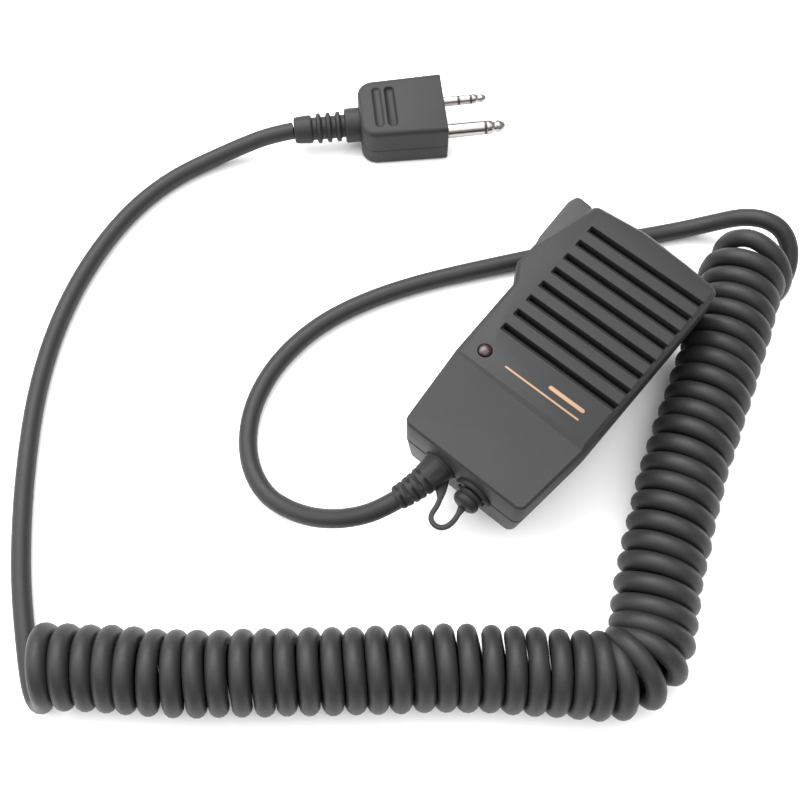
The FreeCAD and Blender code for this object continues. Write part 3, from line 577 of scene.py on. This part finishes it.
def softened_copy(node, slot, body, width):
    """A CAD piece with its edges rounded over, shown in the CAD piece's stead."""
    mesh = frame["nodes"][node].data.copy()
    obj = bpy.data.objects.new(node + "_finished", mesh)
    bpy.context.scene.collection.objects.link(obj)
    bm = bmesh.new()
    bm.from_mesh(mesh)
    bmesh.ops.remove_doubles(bm, verts=bm.verts, dist=0.002 * MM)
    bmesh.ops.dissolve_limit(bm, angle_limit=math.radians(1), verts=bm.verts, edges=bm.edges)
    bm.to_mesh(mesh)
    bm.free()
    bevel = obj.modifiers.new("edges", "BEVEL")
    bevel.width = width * MM
    bevel.segments = 2
    bevel.limit_method = "ANGLE"
    bevel.angle_limit = math.radians(38)
    settle(obj)
    crisp(obj, 40)
    return finish_piece(obj, slot, body, node)


# ---- case --------------------------------------------------------------------------------------

HALF = CASE_WIDTH / 2
STEP_Y = -14.2
STEP_DROP = 0.45
SLOT_PITCH = 4.376
SLOT_TOP_Y = 27.1
SLOT_COUNT = 8
SCREWS = [(-11.4, -27.5), (11.4, -27.5), (10.8, 29.9), (-9.0, 29.9)]
BOOT_AT = (-5.0, 18.0)            # across the foot and above the surface
JACK_AT = (3.9, 17.8)


def case_outline(inset=0.0, end_inset=0.0):
    """The case seen from above, with its corners rounded."""
    half = HALF - inset
    low, high = -CASE_LENGTH / 2 + end_inset, CASE_LENGTH / 2 - end_inset
    return rounded_outline([
        (-half + 2.4, low, 1.9), (half - 2.4, low, 1.9), (half - 0.4, STEP_Y + 0.2, 9),
        (half, high - 1.0, 2.1), (half - 9, high + 0.1, 16), (-3, high + 0.9, 16),
        (-half + 2.1, high - 0.35, 1.9), (-half - 2.3, 16.6, 3), (-half - 2.5, 10.5, 1.9),
        (-half + 0.1, 6.4, 2.4), (-half + 0.5, STEP_Y + 0.2, 9)])


def bay_cutter(name):
    """The space that the lever swings in."""
    bm = bmesh.new()
    corners = [(-26, 16.75), (-18.6, 16.75), (-18.6, 15.9), (-13.4, 15.9), (-13.4, 24.5),
               (-11.7, 28.6), (-11.7, 37), (-26, 37)]
    plan = [Vector(corner) for corner in corners]
    stack(bm, [(plan, 14.2), (plan, 24.3)])
    return piece_from(name, bm, ON_CASE)


def slot_cutters():
    """Each sound slot: a slit right through, under a groove whose lower side slopes."""
    cutters = []
    for index in range(SLOT_COUNT):
        row = SLOT_TOP_Y - index * SLOT_PITCH
        bm = bmesh.new()
        slit = rounded_outline([(-12.5, row - 0.42, 0.2), (16.25, row - 0.42, 0.2),
                                (16.25, row + 0.64, 0.2), (-12.5, row + 0.64, 0.2)], 2)
        stack(bm, [(slit, FACE_Z - 3), (slit, FACE_Z - 0.5)])
        cutters.append(piece_from("slit", bm, ON_CASE))
        bm = bmesh.new()
        low = rounded_outline([(-12.5, row - 0.46, 0.12), (16.3, row - 0.46, 0.12),
                               (16.3, row + 0.66, 0.12), (-12.5, row + 0.66, 0.12)], 2)
        rim = rounded_outline([(-12.7, row - 1.1, 0.2), (16.9, row - 1.1, 0.2),
                               (16.9, row + 0.72, 0.2), (-12.7, row + 0.72, 0.2)], 2)
        lips = rounded_outline([(-12.85, row - 1.26, 0.25), (17.1, row - 1.26, 0.25),
                                (17.1, row + 0.82, 0.25), (-12.85, row + 0.82, 0.25)], 2)
        stack(bm, [(low, FACE_Z - 0.7), (rim, FACE_Z - 0.1), (lips, FACE_Z + 0.02),
                   (lips, FACE_Z + 1)])
        cutters.append(piece_from("groove", bm, ON_CASE))
    return cutters


def foot_cutter():
    """Lowers the face over the microphone end, down a short ramp that widens to the right."""
    bm = bmesh.new()
    low = FACE_Z - STEP_DROP
    rings = []
    for x in (-22.0, 22.0):
        ramp = 0.35 + 1.15 * (x + 22) / 44
        rings.append([Vector((x, STEP_Y + 0.15, FACE_Z + 0.02)), Vector((x, STEP_Y, FACE_Z - 0.05)),
                      Vector((x, STEP_Y - ramp, low)), Vector((x, -36, low)),
                      Vector((x, -36, FACE_Z + 2)), Vector((x, STEP_Y + 0.15, FACE_Z + 2))])
    join_rings(bm, rings)
    return piece_from("foot_cut", bm, ON_CASE)


def foot_hole(name, place, radius):
    x, z = place
    matrix = Matrix.Translation(on_case(x, -CASE_LENGTH / 2 + 4, z)) @ DOWN_THE_CASE
    return rod(name, radius, 0, 8, matrix)


def front_shell():
    profile = [(0.6, PARTING_Z), (0.55, PARTING_Z + 0.05), (0.12, PARTING_Z + 0.12),
               (0.0, PARTING_Z + 0.3),
               (0.0, FACE_Z - 0.95), (0.03, FACE_Z - 0.86), (0.1, FACE_Z - 0.78),
               (0.78, FACE_Z - 0.12), (0.88, FACE_Z - 0.04), (1.02, FACE_Z)]
    bm = bmesh.new()
    outline = case_outline()
    stack(bm, [(drawn_in(outline, inset), z) for inset, z in profile])
    shell = piece_from("face_shell", bm, ON_CASE)
    bm = bmesh.new()
    inner = drawn_in(outline, 1.6)
    stack(bm, [(inner, PARTING_Z - 1), (inner, FACE_Z - 1.6)])
    inside = piece_from("inside", bm, ON_CASE)
    lamp = middle("status_lamp")
    lamp_hole = rod("lamp_hole", 1.62, FACE_Z - 3, FACE_Z + 1,
                    Matrix.Translation((lamp.x, lamp.y, 0)))
    carve(shell, inside, bay_cutter("bay"), foot_cutter(), lamp_hole,
          foot_hole("boot_hole", BOOT_AT, 3.9), foot_hole("jack_hole", JACK_AT, 3.1),
          *slot_cutters())
    crisp(shell, 24)
    finish_piece(shell, "case_plastic", "case", "front_shell")


def rear_shell():
    draft = 1.0
    wall = 1.6
    bm = bmesh.new()
    back = case_outline(draft, draft / 4)
    stack(bm, [(drawn_in(back, 0.9), BACK_Z), (drawn_in(back, 0.5), BACK_Z + 0.1),
               (drawn_in(back, 0.18), BACK_Z + 0.35), (back, BACK_Z + 0.8),
               (case_outline(0.02, 0), PARTING_Z - 0.55),
               (drawn_in(case_outline(), 0.08), PARTING_Z - 0.4),
               (drawn_in(case_outline(), 0.5), PARTING_Z - 0.25),
               (drawn_in(case_outline(), 0.6), PARTING_Z)])
    shell = piece_from("back_shell", bm, ON_CASE)
    bm = bmesh.new()
    stack(bm, [(case_outline(draft + wall, draft / 4 + wall), BACK_Z + wall),
               (case_outline(wall, wall), PARTING_Z + 0.5)])
    inside = piece_from("inside", bm, ON_CASE)
    cutters = [inside, bay_cutter("bay"), foot_hole("boot_hole", BOOT_AT, 3.9),
               foot_hole("jack_hole", JACK_AT, 3.1)]
    for index, (x, y) in enumerate(SCREWS):
        seat = Matrix.Translation(on_case(x, y, 0))
        profile = [(0, BACK_Z - 1), (2.5, BACK_Z - 1), (2.5, BACK_Z), (2.2, BACK_Z + 0.25),
                   (2.2, BACK_Z + 2), (0, BACK_Z + 2)]
        cutters.append(turned_piece("seat%d" % index, profile, seat, 40))
    cutters += rib_grooves()
    carve(shell, *cutters)
    crisp(shell, 24)
    finish_piece(shell, "case_plastic", "case", "rear_shell")


def rib_grooves():
    """Shallow grip grooves across the back, on each side of the clip."""
    grooves = []
    for index in range(7):
        y = -24.0 + 6.5 * index
        for x0, x1 in ((-12.6, -8.4), (8.4, 12.6)):
            bm = bmesh.new()
            plan = rounded_outline([(x0, y - 0.5, 0.45), (x1, y - 0.5, 0.45), (x1, y + 0.5, 0.45),
                                    (x0, y + 0.5, 0.45)], 4)
            stack(bm, [(plan, BACK_Z - 1), (plan, BACK_Z + 0.35)])
            grooves.append(piece_from("groove", bm, ON_CASE))
    return grooves


def cloth():
    """Black cloth stretched across the inside of the face, behind every slot."""
    sheet = block("speaker_cloth", (-13.6, -5.6, 25.0), (16.6, 28.6, 25.2))
    finish_piece(sheet, "cloth", "case", "grille_cloth")


def legend():
    """Two plain gold bars in place of the printed marks."""
    bars = [(3.1, 12.0, -8.7, 0.9), (-6.6, 12.1, -10.85, 0.42)]
    for index, (x0, x1, y, width) in enumerate(bars):
        bm = bmesh.new()
        end = width / 2 - 0.01
        plan = rounded_outline([(x0, y - width / 2, end), (x1, y - width / 2, end),
                                (x1, y + width / 2, end), (x0, y + width / 2, end)], 5)
        stack(bm, [(plan, FACE_Z - 0.02), (plan, FACE_Z + 0.03),
                   (drawn_in(plan, 0.04), FACE_Z + 0.05)])
        bar = piece_from("gold_bar_%d" % (index + 1), bm, ON_CASE)
        finish_piece(bar, "gold_ink", "case")


def lamp():
    place = middle("status_lamp")
    profile = [(0, 22.0), (1.9, 22.0), (1.9, 22.8), (1.45, 22.9)]
    dome = 12
    for step in range(dome + 1):
        angle = math.pi / 2 * step / dome
        profile.append((1.45 * math.cos(angle), FACE_Z - 0.05 + 0.72 * math.sin(angle)))
    lens = turned_piece("lamp_lens", profile, Matrix.Translation((place.x, place.y, 0)))
    finish_piece(lens, "lamp_red", "case", "status_lamp")


def screws():
    """Cross-head screws sunk in the back."""
    bodies = []
    for x, y in SCREWS:
        matrix = Matrix.Translation(on_case(x, y, BACK_Z + 0.55))
        profile = softened([(0, 0), (1.7, 0.02), (2.0, 0.3), (2.0, 1.4), (1.0, 1.5), (1.0, 12.0),
                            (0.4, 13.0), (0, 13.1)], 1)
        screw = turned_piece("screw", profile, matrix, 40)
        arms = [block("arm", (x - a, y - b, BACK_Z), (x + a, y + b, BACK_Z + 1.2))
                for a, b in ((1.15, 0.24), (0.24, 1.15))]
        bodies.append(carve(screw, *arms))
    first, rest = bodies[0], bodies[1:]
    bm = bmesh.new()
    for body in bodies:
        bm.from_mesh(body.data)
    bm.to_mesh(first.data)
    bm.free()
    for body in rest:
        bpy.data.objects.remove(body)
    first.name = "back_screws"
    crisp(first, 35)
    finish_piece(first, "zinc_screw", "case", "case_screws")


def lever():
    """The push-to-talk lever: a wedge with soft edges and fine grip ribs on its outer side."""
    low, high = 14.6, 24.0
    plan = rounded_outline([(-20.2, 17.1, 0.7), (-15.3, 16.5, 0.6), (-13.9, 31.0, 1.0),
                            (-16.4, 33.9, 1.2), (-20.6, 34.3, 1.5), (-21.4, 31.6, 1.6),
                            (-20.9, 20.4, 2.5)], 6)
    bm = bmesh.new()
    levels = [(0.45, low), (0.15, low + 0.12), (0.0, low + 0.4), (0.0, high - 0.7),
              (0.08, high - 0.42), (0.25, high - 0.18), (0.55, high - 0.04), (0.8, high)]
    stack(bm, [(drawn_in(plan, inset), z) for inset, z in levels])
    blade = piece_from("talk_lever", bm, ON_CASE)
    hinge = on_case(-15.3, 18.2, 0)
    eye = rod("eye", 1.9, low, high - 0.1, Matrix.Translation(hinge), 48, 0.15)
    merge(blade, eye)
    bore = rod("bore", 0.96, low - 1, high + 1, Matrix.Translation(hinge), 40)
    ribs = []
    for index in range(6):
        y = 22.4 + 1.7 * index
        x = -21.1 - 0.045 * (y - 20.4)
        ribs.append(block("rib", (x - 0.6, y - 0.25, low + 1.6), (x + 0.32, y + 0.25, high - 1.8)))
    carve(blade, bore, *ribs)
    crisp(blade, 28)
    finish_piece(blade, "lever_plastic", "ptt_lever", "ptt_lever")


# ---- foot: strain relief, jack, cap and tether ---------------------------------------------------

BOOT_LENGTH = 11.4
BOOT_ROOT = 3.6                   # the length of its fluted root
BOOT_ROW = 1.45                   # from one row of slots to the next
BOOT_SIDES = 96
BOOT_RINGS = 150


def direction(turn, droop):
    """The way the strain relief points: down the case, turned left and drooping, in degrees."""
    turned = Matrix.Rotation(math.radians(-turn), 3, "Z") @ Vector((0, -1, 0))
    return (turned * math.cos(math.radians(droop)) - Vector((0, 0, math.sin(math.radians(droop)))))


def strain_relief():
    """A bent rubber boot: a fluted root, then rows of slots with bridges between them."""
    root = on_case(BOOT_AT[0], -CASE_LENGTH / 2, BOOT_AT[1])
    elbow = root + direction(6, 10) * BOOT_LENGTH / 2
    tip = elbow + direction(24, 18) * BOOT_LENGTH / 2
    line = Line([((1 - t) ** 2) * root + 2 * t * (1 - t) * elbow + t * t * tip
                 for t in (k / 60 for k in range(61))])
    rings = []
    for step in range(BOOT_RINGS + 1):
        distance = line.length * step / BOOT_RINGS
        ahead = line.heading(distance, 0.4)
        side = ahead.cross(Vector((0, 0, 1))).normalized()
        up = side.cross(ahead)
        rings.append([line.place(distance)
                      + (side * math.cos(a) + up * math.sin(a)) * boot_radius(distance, a)
                      for a in round_angles(BOOT_SIDES)])
    bm = bmesh.new()
    back = (root - line.place(0.6)).normalized() * 1.2
    neck = [point + back for point in rings[0]]
    join_rings(bm, [neck] + rings)
    boot = piece_from("strain_relief_boot", bm, None, 50)
    profile = [(2.3, -0.5), (3.8, -0.5), (3.8, 0.35), (3.6, 0.6), (2.3, 0.6)]
    collar = turned_piece("strain_relief_collar", softened(profile, 1),
                          Matrix.Translation(root) @ DOWN_THE_CASE)
    finish_piece(collar, "soft_rubber", "case")
    return finish_piece(boot, "soft_rubber", "case", "strain_relief"), collar


def boot_radius(distance, angle):
    """The boot's radius at a distance from its root and an angle round it."""
    outer = 3.55 - 0.95 * distance / BOOT_LENGTH
    if distance < BOOT_ROOT:
        flute = 0.12 * max(0.0, math.cos(6 * angle)) * min(1.0, distance, BOOT_ROOT - distance)
        return outer - flute
    row = (distance - BOOT_ROOT) / BOOT_ROW
    within = row - math.floor(row)
    bridge = abs(math.cos(2 * angle + (math.pi / 2) * (int(row) % 2)))
    slot = math.exp(-((within - 0.5) / 0.17) ** 4)
    open_here = 1 / (1 + math.exp(-14 * (0.86 - bridge)))
    fade = min(1.0, max(0.0, (BOOT_LENGTH - 0.7 - distance) / 0.5))
    rounded = 0.35 * max(0.0, (distance - BOOT_LENGTH + 0.6) / 0.6) ** 2
    return outer - 0.5 * slot * open_here * fade - rounded


def jack_and_cap():
    x, z = JACK_AT
    foot = -CASE_LENGTH / 2
    at_foot = Matrix.Translation(on_case(x, foot, z)) @ DOWN_THE_CASE
    profile = [(3.08, -0.3), (4.2, -0.3), (4.25, 0.45), (3.9, 0.95), (3.3, 0.95), (3.08, 0.6),
               (3.08, -0.3)]
    rim = turned_piece("jack_rim", softened(profile, 2, 0.25), at_foot)
    finish_piece(rim, "soft_rubber", "case", "jack_ring")
    at_cap = Matrix.Translation(on_case(x + 0.1, foot - 0.7, z - 0.1)) @ DOWN_THE_CASE
    profile = softened([(0, 0), (2.2, 0), (2.95, 0.25), (3.0, 0.9), (2.65, 1.15), (2.65, 1.35),
                        (2.95, 1.6), (2.85, 2.6), (2.1, 3.25), (0.9, 3.45), (0, 3.45)], 2, 0.25)
    cap = turned_piece("rubber_cap", profile, at_cap)
    at_stem = Matrix.Translation(on_case(x, foot - 1.1, z)) @ DOWN_THE_CASE
    stem = rod("stem", 1.15, -6.4, 0.5, at_stem, 32, 0.2)
    merge(cap, stem)
    crisp(cap, 40)
    finish_piece(cap, "soft_rubber", "jack_cap", "jack_cap")


def tether():
    """The cap's strap: a triangular tab on the strain relief, then a flat loop round to the cap."""
    z = 16.9
    route = [(-3.4, -35.5), (-2.1, -36.7), (-1.0, -38.2), (-0.35, -39.6), (-0.05, -41.2),
             (0.05, -42.6), (0.9, -43.7), (2.4, -44.0), (3.8, -43.3), (4.5, -41.6), (4.4, -39.4),
             (3.9, -36.9)]
    line = Line([point / MM for point in line_of([on_case(x, y, z) * MM for x, y in route])])
    widths = []
    for distance in line.along:
        share = distance / line.length
        tab = 1.5 * max(0.0, 1 - share / 0.24) ** 1.1
        end = 0.5 * max(0.0, (share - 0.9) / 0.1)
        widths.append(0.56 + tab + end)
    bm = bmesh.new()
    rings = []
    for place, distance, width in zip(line.points, line.along, widths):
        ahead = line.heading(distance, 0.3)
        side = ahead.cross(Vector((0, 0, 1))).normalized()
        rings.append([place + side * width * superellipse(a, math.cos)
                      + Vector((0, 0, 0.42 * superellipse(a, math.sin)))
                      for a in round_angles(16)])
    join_rings(bm, rings)
    strap = piece_from("cap_strap", bm, None, 50)
    strap.data.materials.append(MATERIALS["soft_rubber"])
    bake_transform(strap)
    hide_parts("cap_tether")


def superellipse(angle, wave):
    """A rounded square's coordinate: a sine or cosine drawn out towards the corners."""
    value = wave(angle)
    return math.copysign(abs(value) ** 0.6, value)


# ---- plug --------------------------------------------------------------------------------------

PLUG_LENGTH = 21.2
PLUG_HALF = 8.8
PLUG_OFFSET = 0.6                 # the block reaches further past the small pin
PLUG_HEIGHT = 12.0
PLUG_AXIS_Z = 6.5
PIN_SPACING = 9.0


def plug_plan(inset):
    """The plug's outline, drawn in all round but hardly at its flat front."""
    rear, front = -PLUG_LENGTH + inset, -0.25 * inset
    low, high = PLUG_OFFSET - PLUG_HALF + inset, PLUG_OFFSET + PLUG_HALF - inset
    back_corner = 3.7 - inset * 0.6
    return rounded_outline([(rear, low + 0.6, back_corner), (front, low, 0.4),
                            (front, high, 0.4), (rear, high - 0.6, back_corner)], 8)


def plug_body():
    seam = PLUG_HEIGHT / 2 - 0.8
    levels = [(0.9, 0.0), (0.35, 0.15), (0.0, 0.8), (0.0, seam - 0.12), (0.12, seam),
              (0.0, seam + 0.12), (0.0, PLUG_HEIGHT - 1.4), (0.12, PLUG_HEIGHT - 0.8),
              (0.42, PLUG_HEIGHT - 0.3), (0.85, PLUG_HEIGHT - 0.05), (1.25, PLUG_HEIGHT)]
    bm = bmesh.new()
    stack(bm, [(plug_plan(inset), z) for inset, z in levels])
    body = piece_from("plug_shell", bm, ON_PLUG)
    grooves = []
    for x, depth, wide in ((-16.5, 0.5, 2.1), (-13.3, 0.85, 2.4)):
        bm = bmesh.new()
        levels = [(0.75, PLUG_HEIGHT - depth), (0.3, PLUG_HEIGHT - depth * 0.75),
                  (0.08, PLUG_HEIGHT - depth * 0.4), (0.0, PLUG_HEIGHT - 0.1),
                  (-0.2, PLUG_HEIGHT + 0.02), (-0.2, PLUG_HEIGHT + 1)]
        plan = rounded_outline([(x - wide / 2, -5.3, 0.95), (x + wide / 2, -5.3, 0.95),
                                (x + wide / 2, 6.3, 0.95), (x - wide / 2, 6.3, 0.95)], 5)
        stack(bm, [(drawn_in(plan, inset), z) for inset, z in levels])
        grooves.append(piece_from("recess", bm, ON_PLUG))
    carve(body, *grooves)
    crisp(body, 30)
    return finish_piece(body, "case_plastic", "case", "plug_body")


def plug_boot():
    profile = [(0, -0.3), (4.1, -0.3), (4.2, 0.1), (4.2, 3.4), (3.9, 3.7), (2.9, 3.75)]
    along = 3.75
    for rib in range(3):
        profile += [(2.75, along + 0.1), (2.75, along + 1.0), (3.55, along + 1.15),
                    (3.7, along + 1.6), (3.55, along + 2.1), (2.8, along + 2.3)]
        along += 2.4
    profile += [(2.75, along + 0.1), (2.75, along + 0.9), (3.35, along + 1.1), (3.45, along + 1.6),
                (3.25, 16.0), (2.8, 16.4), (2.0, 16.4), (0, 16.4)]
    matrix = ON_PLUG @ Matrix.Translation((-PLUG_LENGTH, 0, PLUG_AXIS_Z)) @ \
        Matrix.Rotation(-math.pi / 2, 4, "Y")
    boot = turned_piece("plug_sleeve", softened(profile, 2, 0.2), matrix, 72)
    return finish_piece(boot, "soft_rubber", "case", "plug_boot")


def pin(prefix, y, parts):
    """The pieces of one pin: (name, slot, CAD node, profile of (radius, distance))."""
    matrix = ON_PLUG @ Matrix.Translation((0, y, PLUG_AXIS_Z)) @ ALONG_X
    made = []
    for name, slot, node, profile in parts:
        piece = turned_piece(prefix + name, profile, matrix, 56, 30)
        made.append(finish_piece(piece, slot, "case", node))
    return made


def sleeve_profile(radius, low, high, edge=0.08):
    return [(0, low), (radius - edge, low), (radius, low + edge), (radius, high - edge),
            (radius - edge, high), (0, high)]


def tip_profile(radius, low, length):
    """A jack pin's tip: a short barrel, a waist, and a blunt cone."""
    shape = [(0, 0), (0.95, 0.0), (1.0, 0.02), (1.0, 0.25), (0.94, 0.29), (0.76, 0.38),
             (0.72, 0.45), (0.76, 0.52), (0.93, 0.62), (0.93, 0.66), (0.66, 0.88), (0.45, 0.97),
             (0.2, 1.0), (0, 1.0)]
    return [(radius * share, low + length * along) for share, along in shape]


def pins():
    large, small = 1.75, 1.25
    made = pin("large_pin_", -PIN_SPACING / 2, [
        ("sleeve", "nickel", "plug_large_sleeve", sleeve_profile(large, -0.3, 9.4)),
        ("ring", "insulator", "plug_large_insulator",
         sleeve_profile(large - 0.06, 9.38, 10.02, 0.02)),
        ("tip", "nickel", "plug_large_tip", tip_profile(large, 10.0, 4.7))])
    return made + pin("small_pin_", PIN_SPACING / 2, [
        ("sleeve", "nickel", "plug_small_sleeve", sleeve_profile(small, -0.3, 3.9)),
        ("rings", "insulator", "plug_small_insulators",
         sleeve_profile(small - 0.05, 3.88, 4.42, 0.02)),
        ("band", "nickel", "plug_small_ring", sleeve_profile(small, 4.4, 7.0)),
        ("tip", "nickel", "plug_small_tip", tip_profile(small, 7.5, 3.7)),
        ("second_ring", "insulator", "plug_small_insulators",
         sleeve_profile(small - 0.05, 6.98, 7.52, 0.02))])


# ---- belt clip ---------------------------------------------------------------------------------

def clip():
    softened_copy("clip_base", "lever_plastic", "clip", 0.3)
    softened_copy("clip_jaw", "lever_plastic", "clip_jaw", 0.3)
    softened_copy("clip_swivel_post", "lever_plastic", "case", 0.25)
    softened_copy("clip_washer", "steel", "case", 0.08)
    softened_copy("clip_post_screw", "steel", "case", 0.12)
    softened_copy("clip_hinge_pin", "steel", "clip", 0.12)
    spring()


def spring():
    """A torsion spring round the hinge pin, with a leg on each of the clip's two arms."""
    radius, wire, turns, per_turn = 1.3, 0.26, 11, 20
    centre = on_case(0, 9.0, 4.0)
    width = 7.6
    points = []
    for step in range(turns * per_turn + 1):
        angle = 2 * math.pi * step / per_turn + math.pi / 2
        x = -width / 2 + width * step / (turns * per_turn)
        points.append(centre + Vector((x, radius * math.cos(angle), radius * math.sin(angle))))
    up = [centre + Vector((-width / 2, -y, radius)) for y in (7.0, 5.0, 3.0, 1.2)]
    down = [centre + Vector((width / 2, -y, radius)) for y in (1.2, 3.0, 5.0, 7.0)]
    coil = nurbs("clip_torsion_spring", [point * MM for point in up + points + down], wire * MM)
    coil.data.resolution_u = 2
    coil.data.bevel_resolution = 2
    finish_piece(coil, "steel", "clip", "clip_spring")


# ---- the pieces inside, and the smaller CAD pieces ---------------------------------------------

def paint_cad_nodes():
    """Every CAD piece that is still shown gets its slot's material."""
    for row in frame["record"]["subparts"]:
        node = frame["nodes"][row["node"]]
        node.data.materials.clear()
        node.data.materials.append(MATERIALS[row["material_slot"]])


# ---- floor and light ---------------------------------------------------------------------------

FAR = Vector((-0.642, 0.767, 0))          # away from the camera along the surface
RIGHT = Vector((0.767, 0.642, 0))
SCENE_MIDDLE = Vector((-0.024, -0.017, 0))


def floor():
    bm = bmesh.new()
    bmesh.ops.create_grid(bm, x_segments=1, y_segments=1, size=FLOOR_SIDE / 2 / MM)
    obj = piece_from("floor", bm)
    mat = bpy.data.materials.new("floor_paper")
    mat.use_nodes = True
    shader = mat.node_tree.nodes["Principled BSDF"]
    shader.inputs["Base Color"].default_value = (0.93, 0.93, 0.935, 1)
    shader.inputs["Roughness"].default_value = 0.9
    shader.inputs["Specular IOR Level"].default_value = 0.1
    obj.data.materials.append(mat)


def area_light(name, place, size, power):
    """A soft light that faces the middle of the scene."""
    data = bpy.data.lights.new(name, "AREA")
    data.shape = "RECTANGLE"
    data.size, data.size_y = size
    data.energy = power
    obj = bpy.data.objects.new(name, data)
    bpy.context.scene.collection.objects.link(obj)
    obj.location = place
    obj.rotation_euler = (SCENE_MIDDLE - place).to_track_quat("-Z", "Y").to_euler()


def lights():
    up = Vector((0, 0, 1))
    area_light("key", SCENE_MIDDLE + FAR * 0.5 - RIGHT * 0.25 + up * 0.75, (1.0, 0.7), 16)
    area_light("overhead", SCENE_MIDDLE + up * 1.1, (1.5, 1.5), 20)
    area_light("left", SCENE_MIDDLE - RIGHT * 0.9 + up * 0.5, (0.6, 0.8), 5)
    world = bpy.data.worlds.new("studio")
    world.use_nodes = True
    world.node_tree.nodes["Background"].inputs["Color"].default_value = (1, 1, 1, 1)
    world.node_tree.nodes["Background"].inputs["Strength"].default_value = 0.6
    bpy.context.scene.world = world
    bpy.context.scene.view_settings.view_transform = "Standard"


# ---- the whole scene ---------------------------------------------------------------------------

camera()
make_materials()
paint_cad_nodes()
flex, cord_exit = cord()
boot, collar = strain_relief()
front_shell()
rear_shell()
cloth()
legend()
lamp()
screws()
lever()
jack_and_cap()
tether()
on_plug = [plug_body(), plug_boot()] + pins()
clip()
for node, width in (("earphone_jack", 0.1), ("cord_clamp", 0.15)):
    softened_copy(node, "component_mix", "case", width)
floor()
lights()
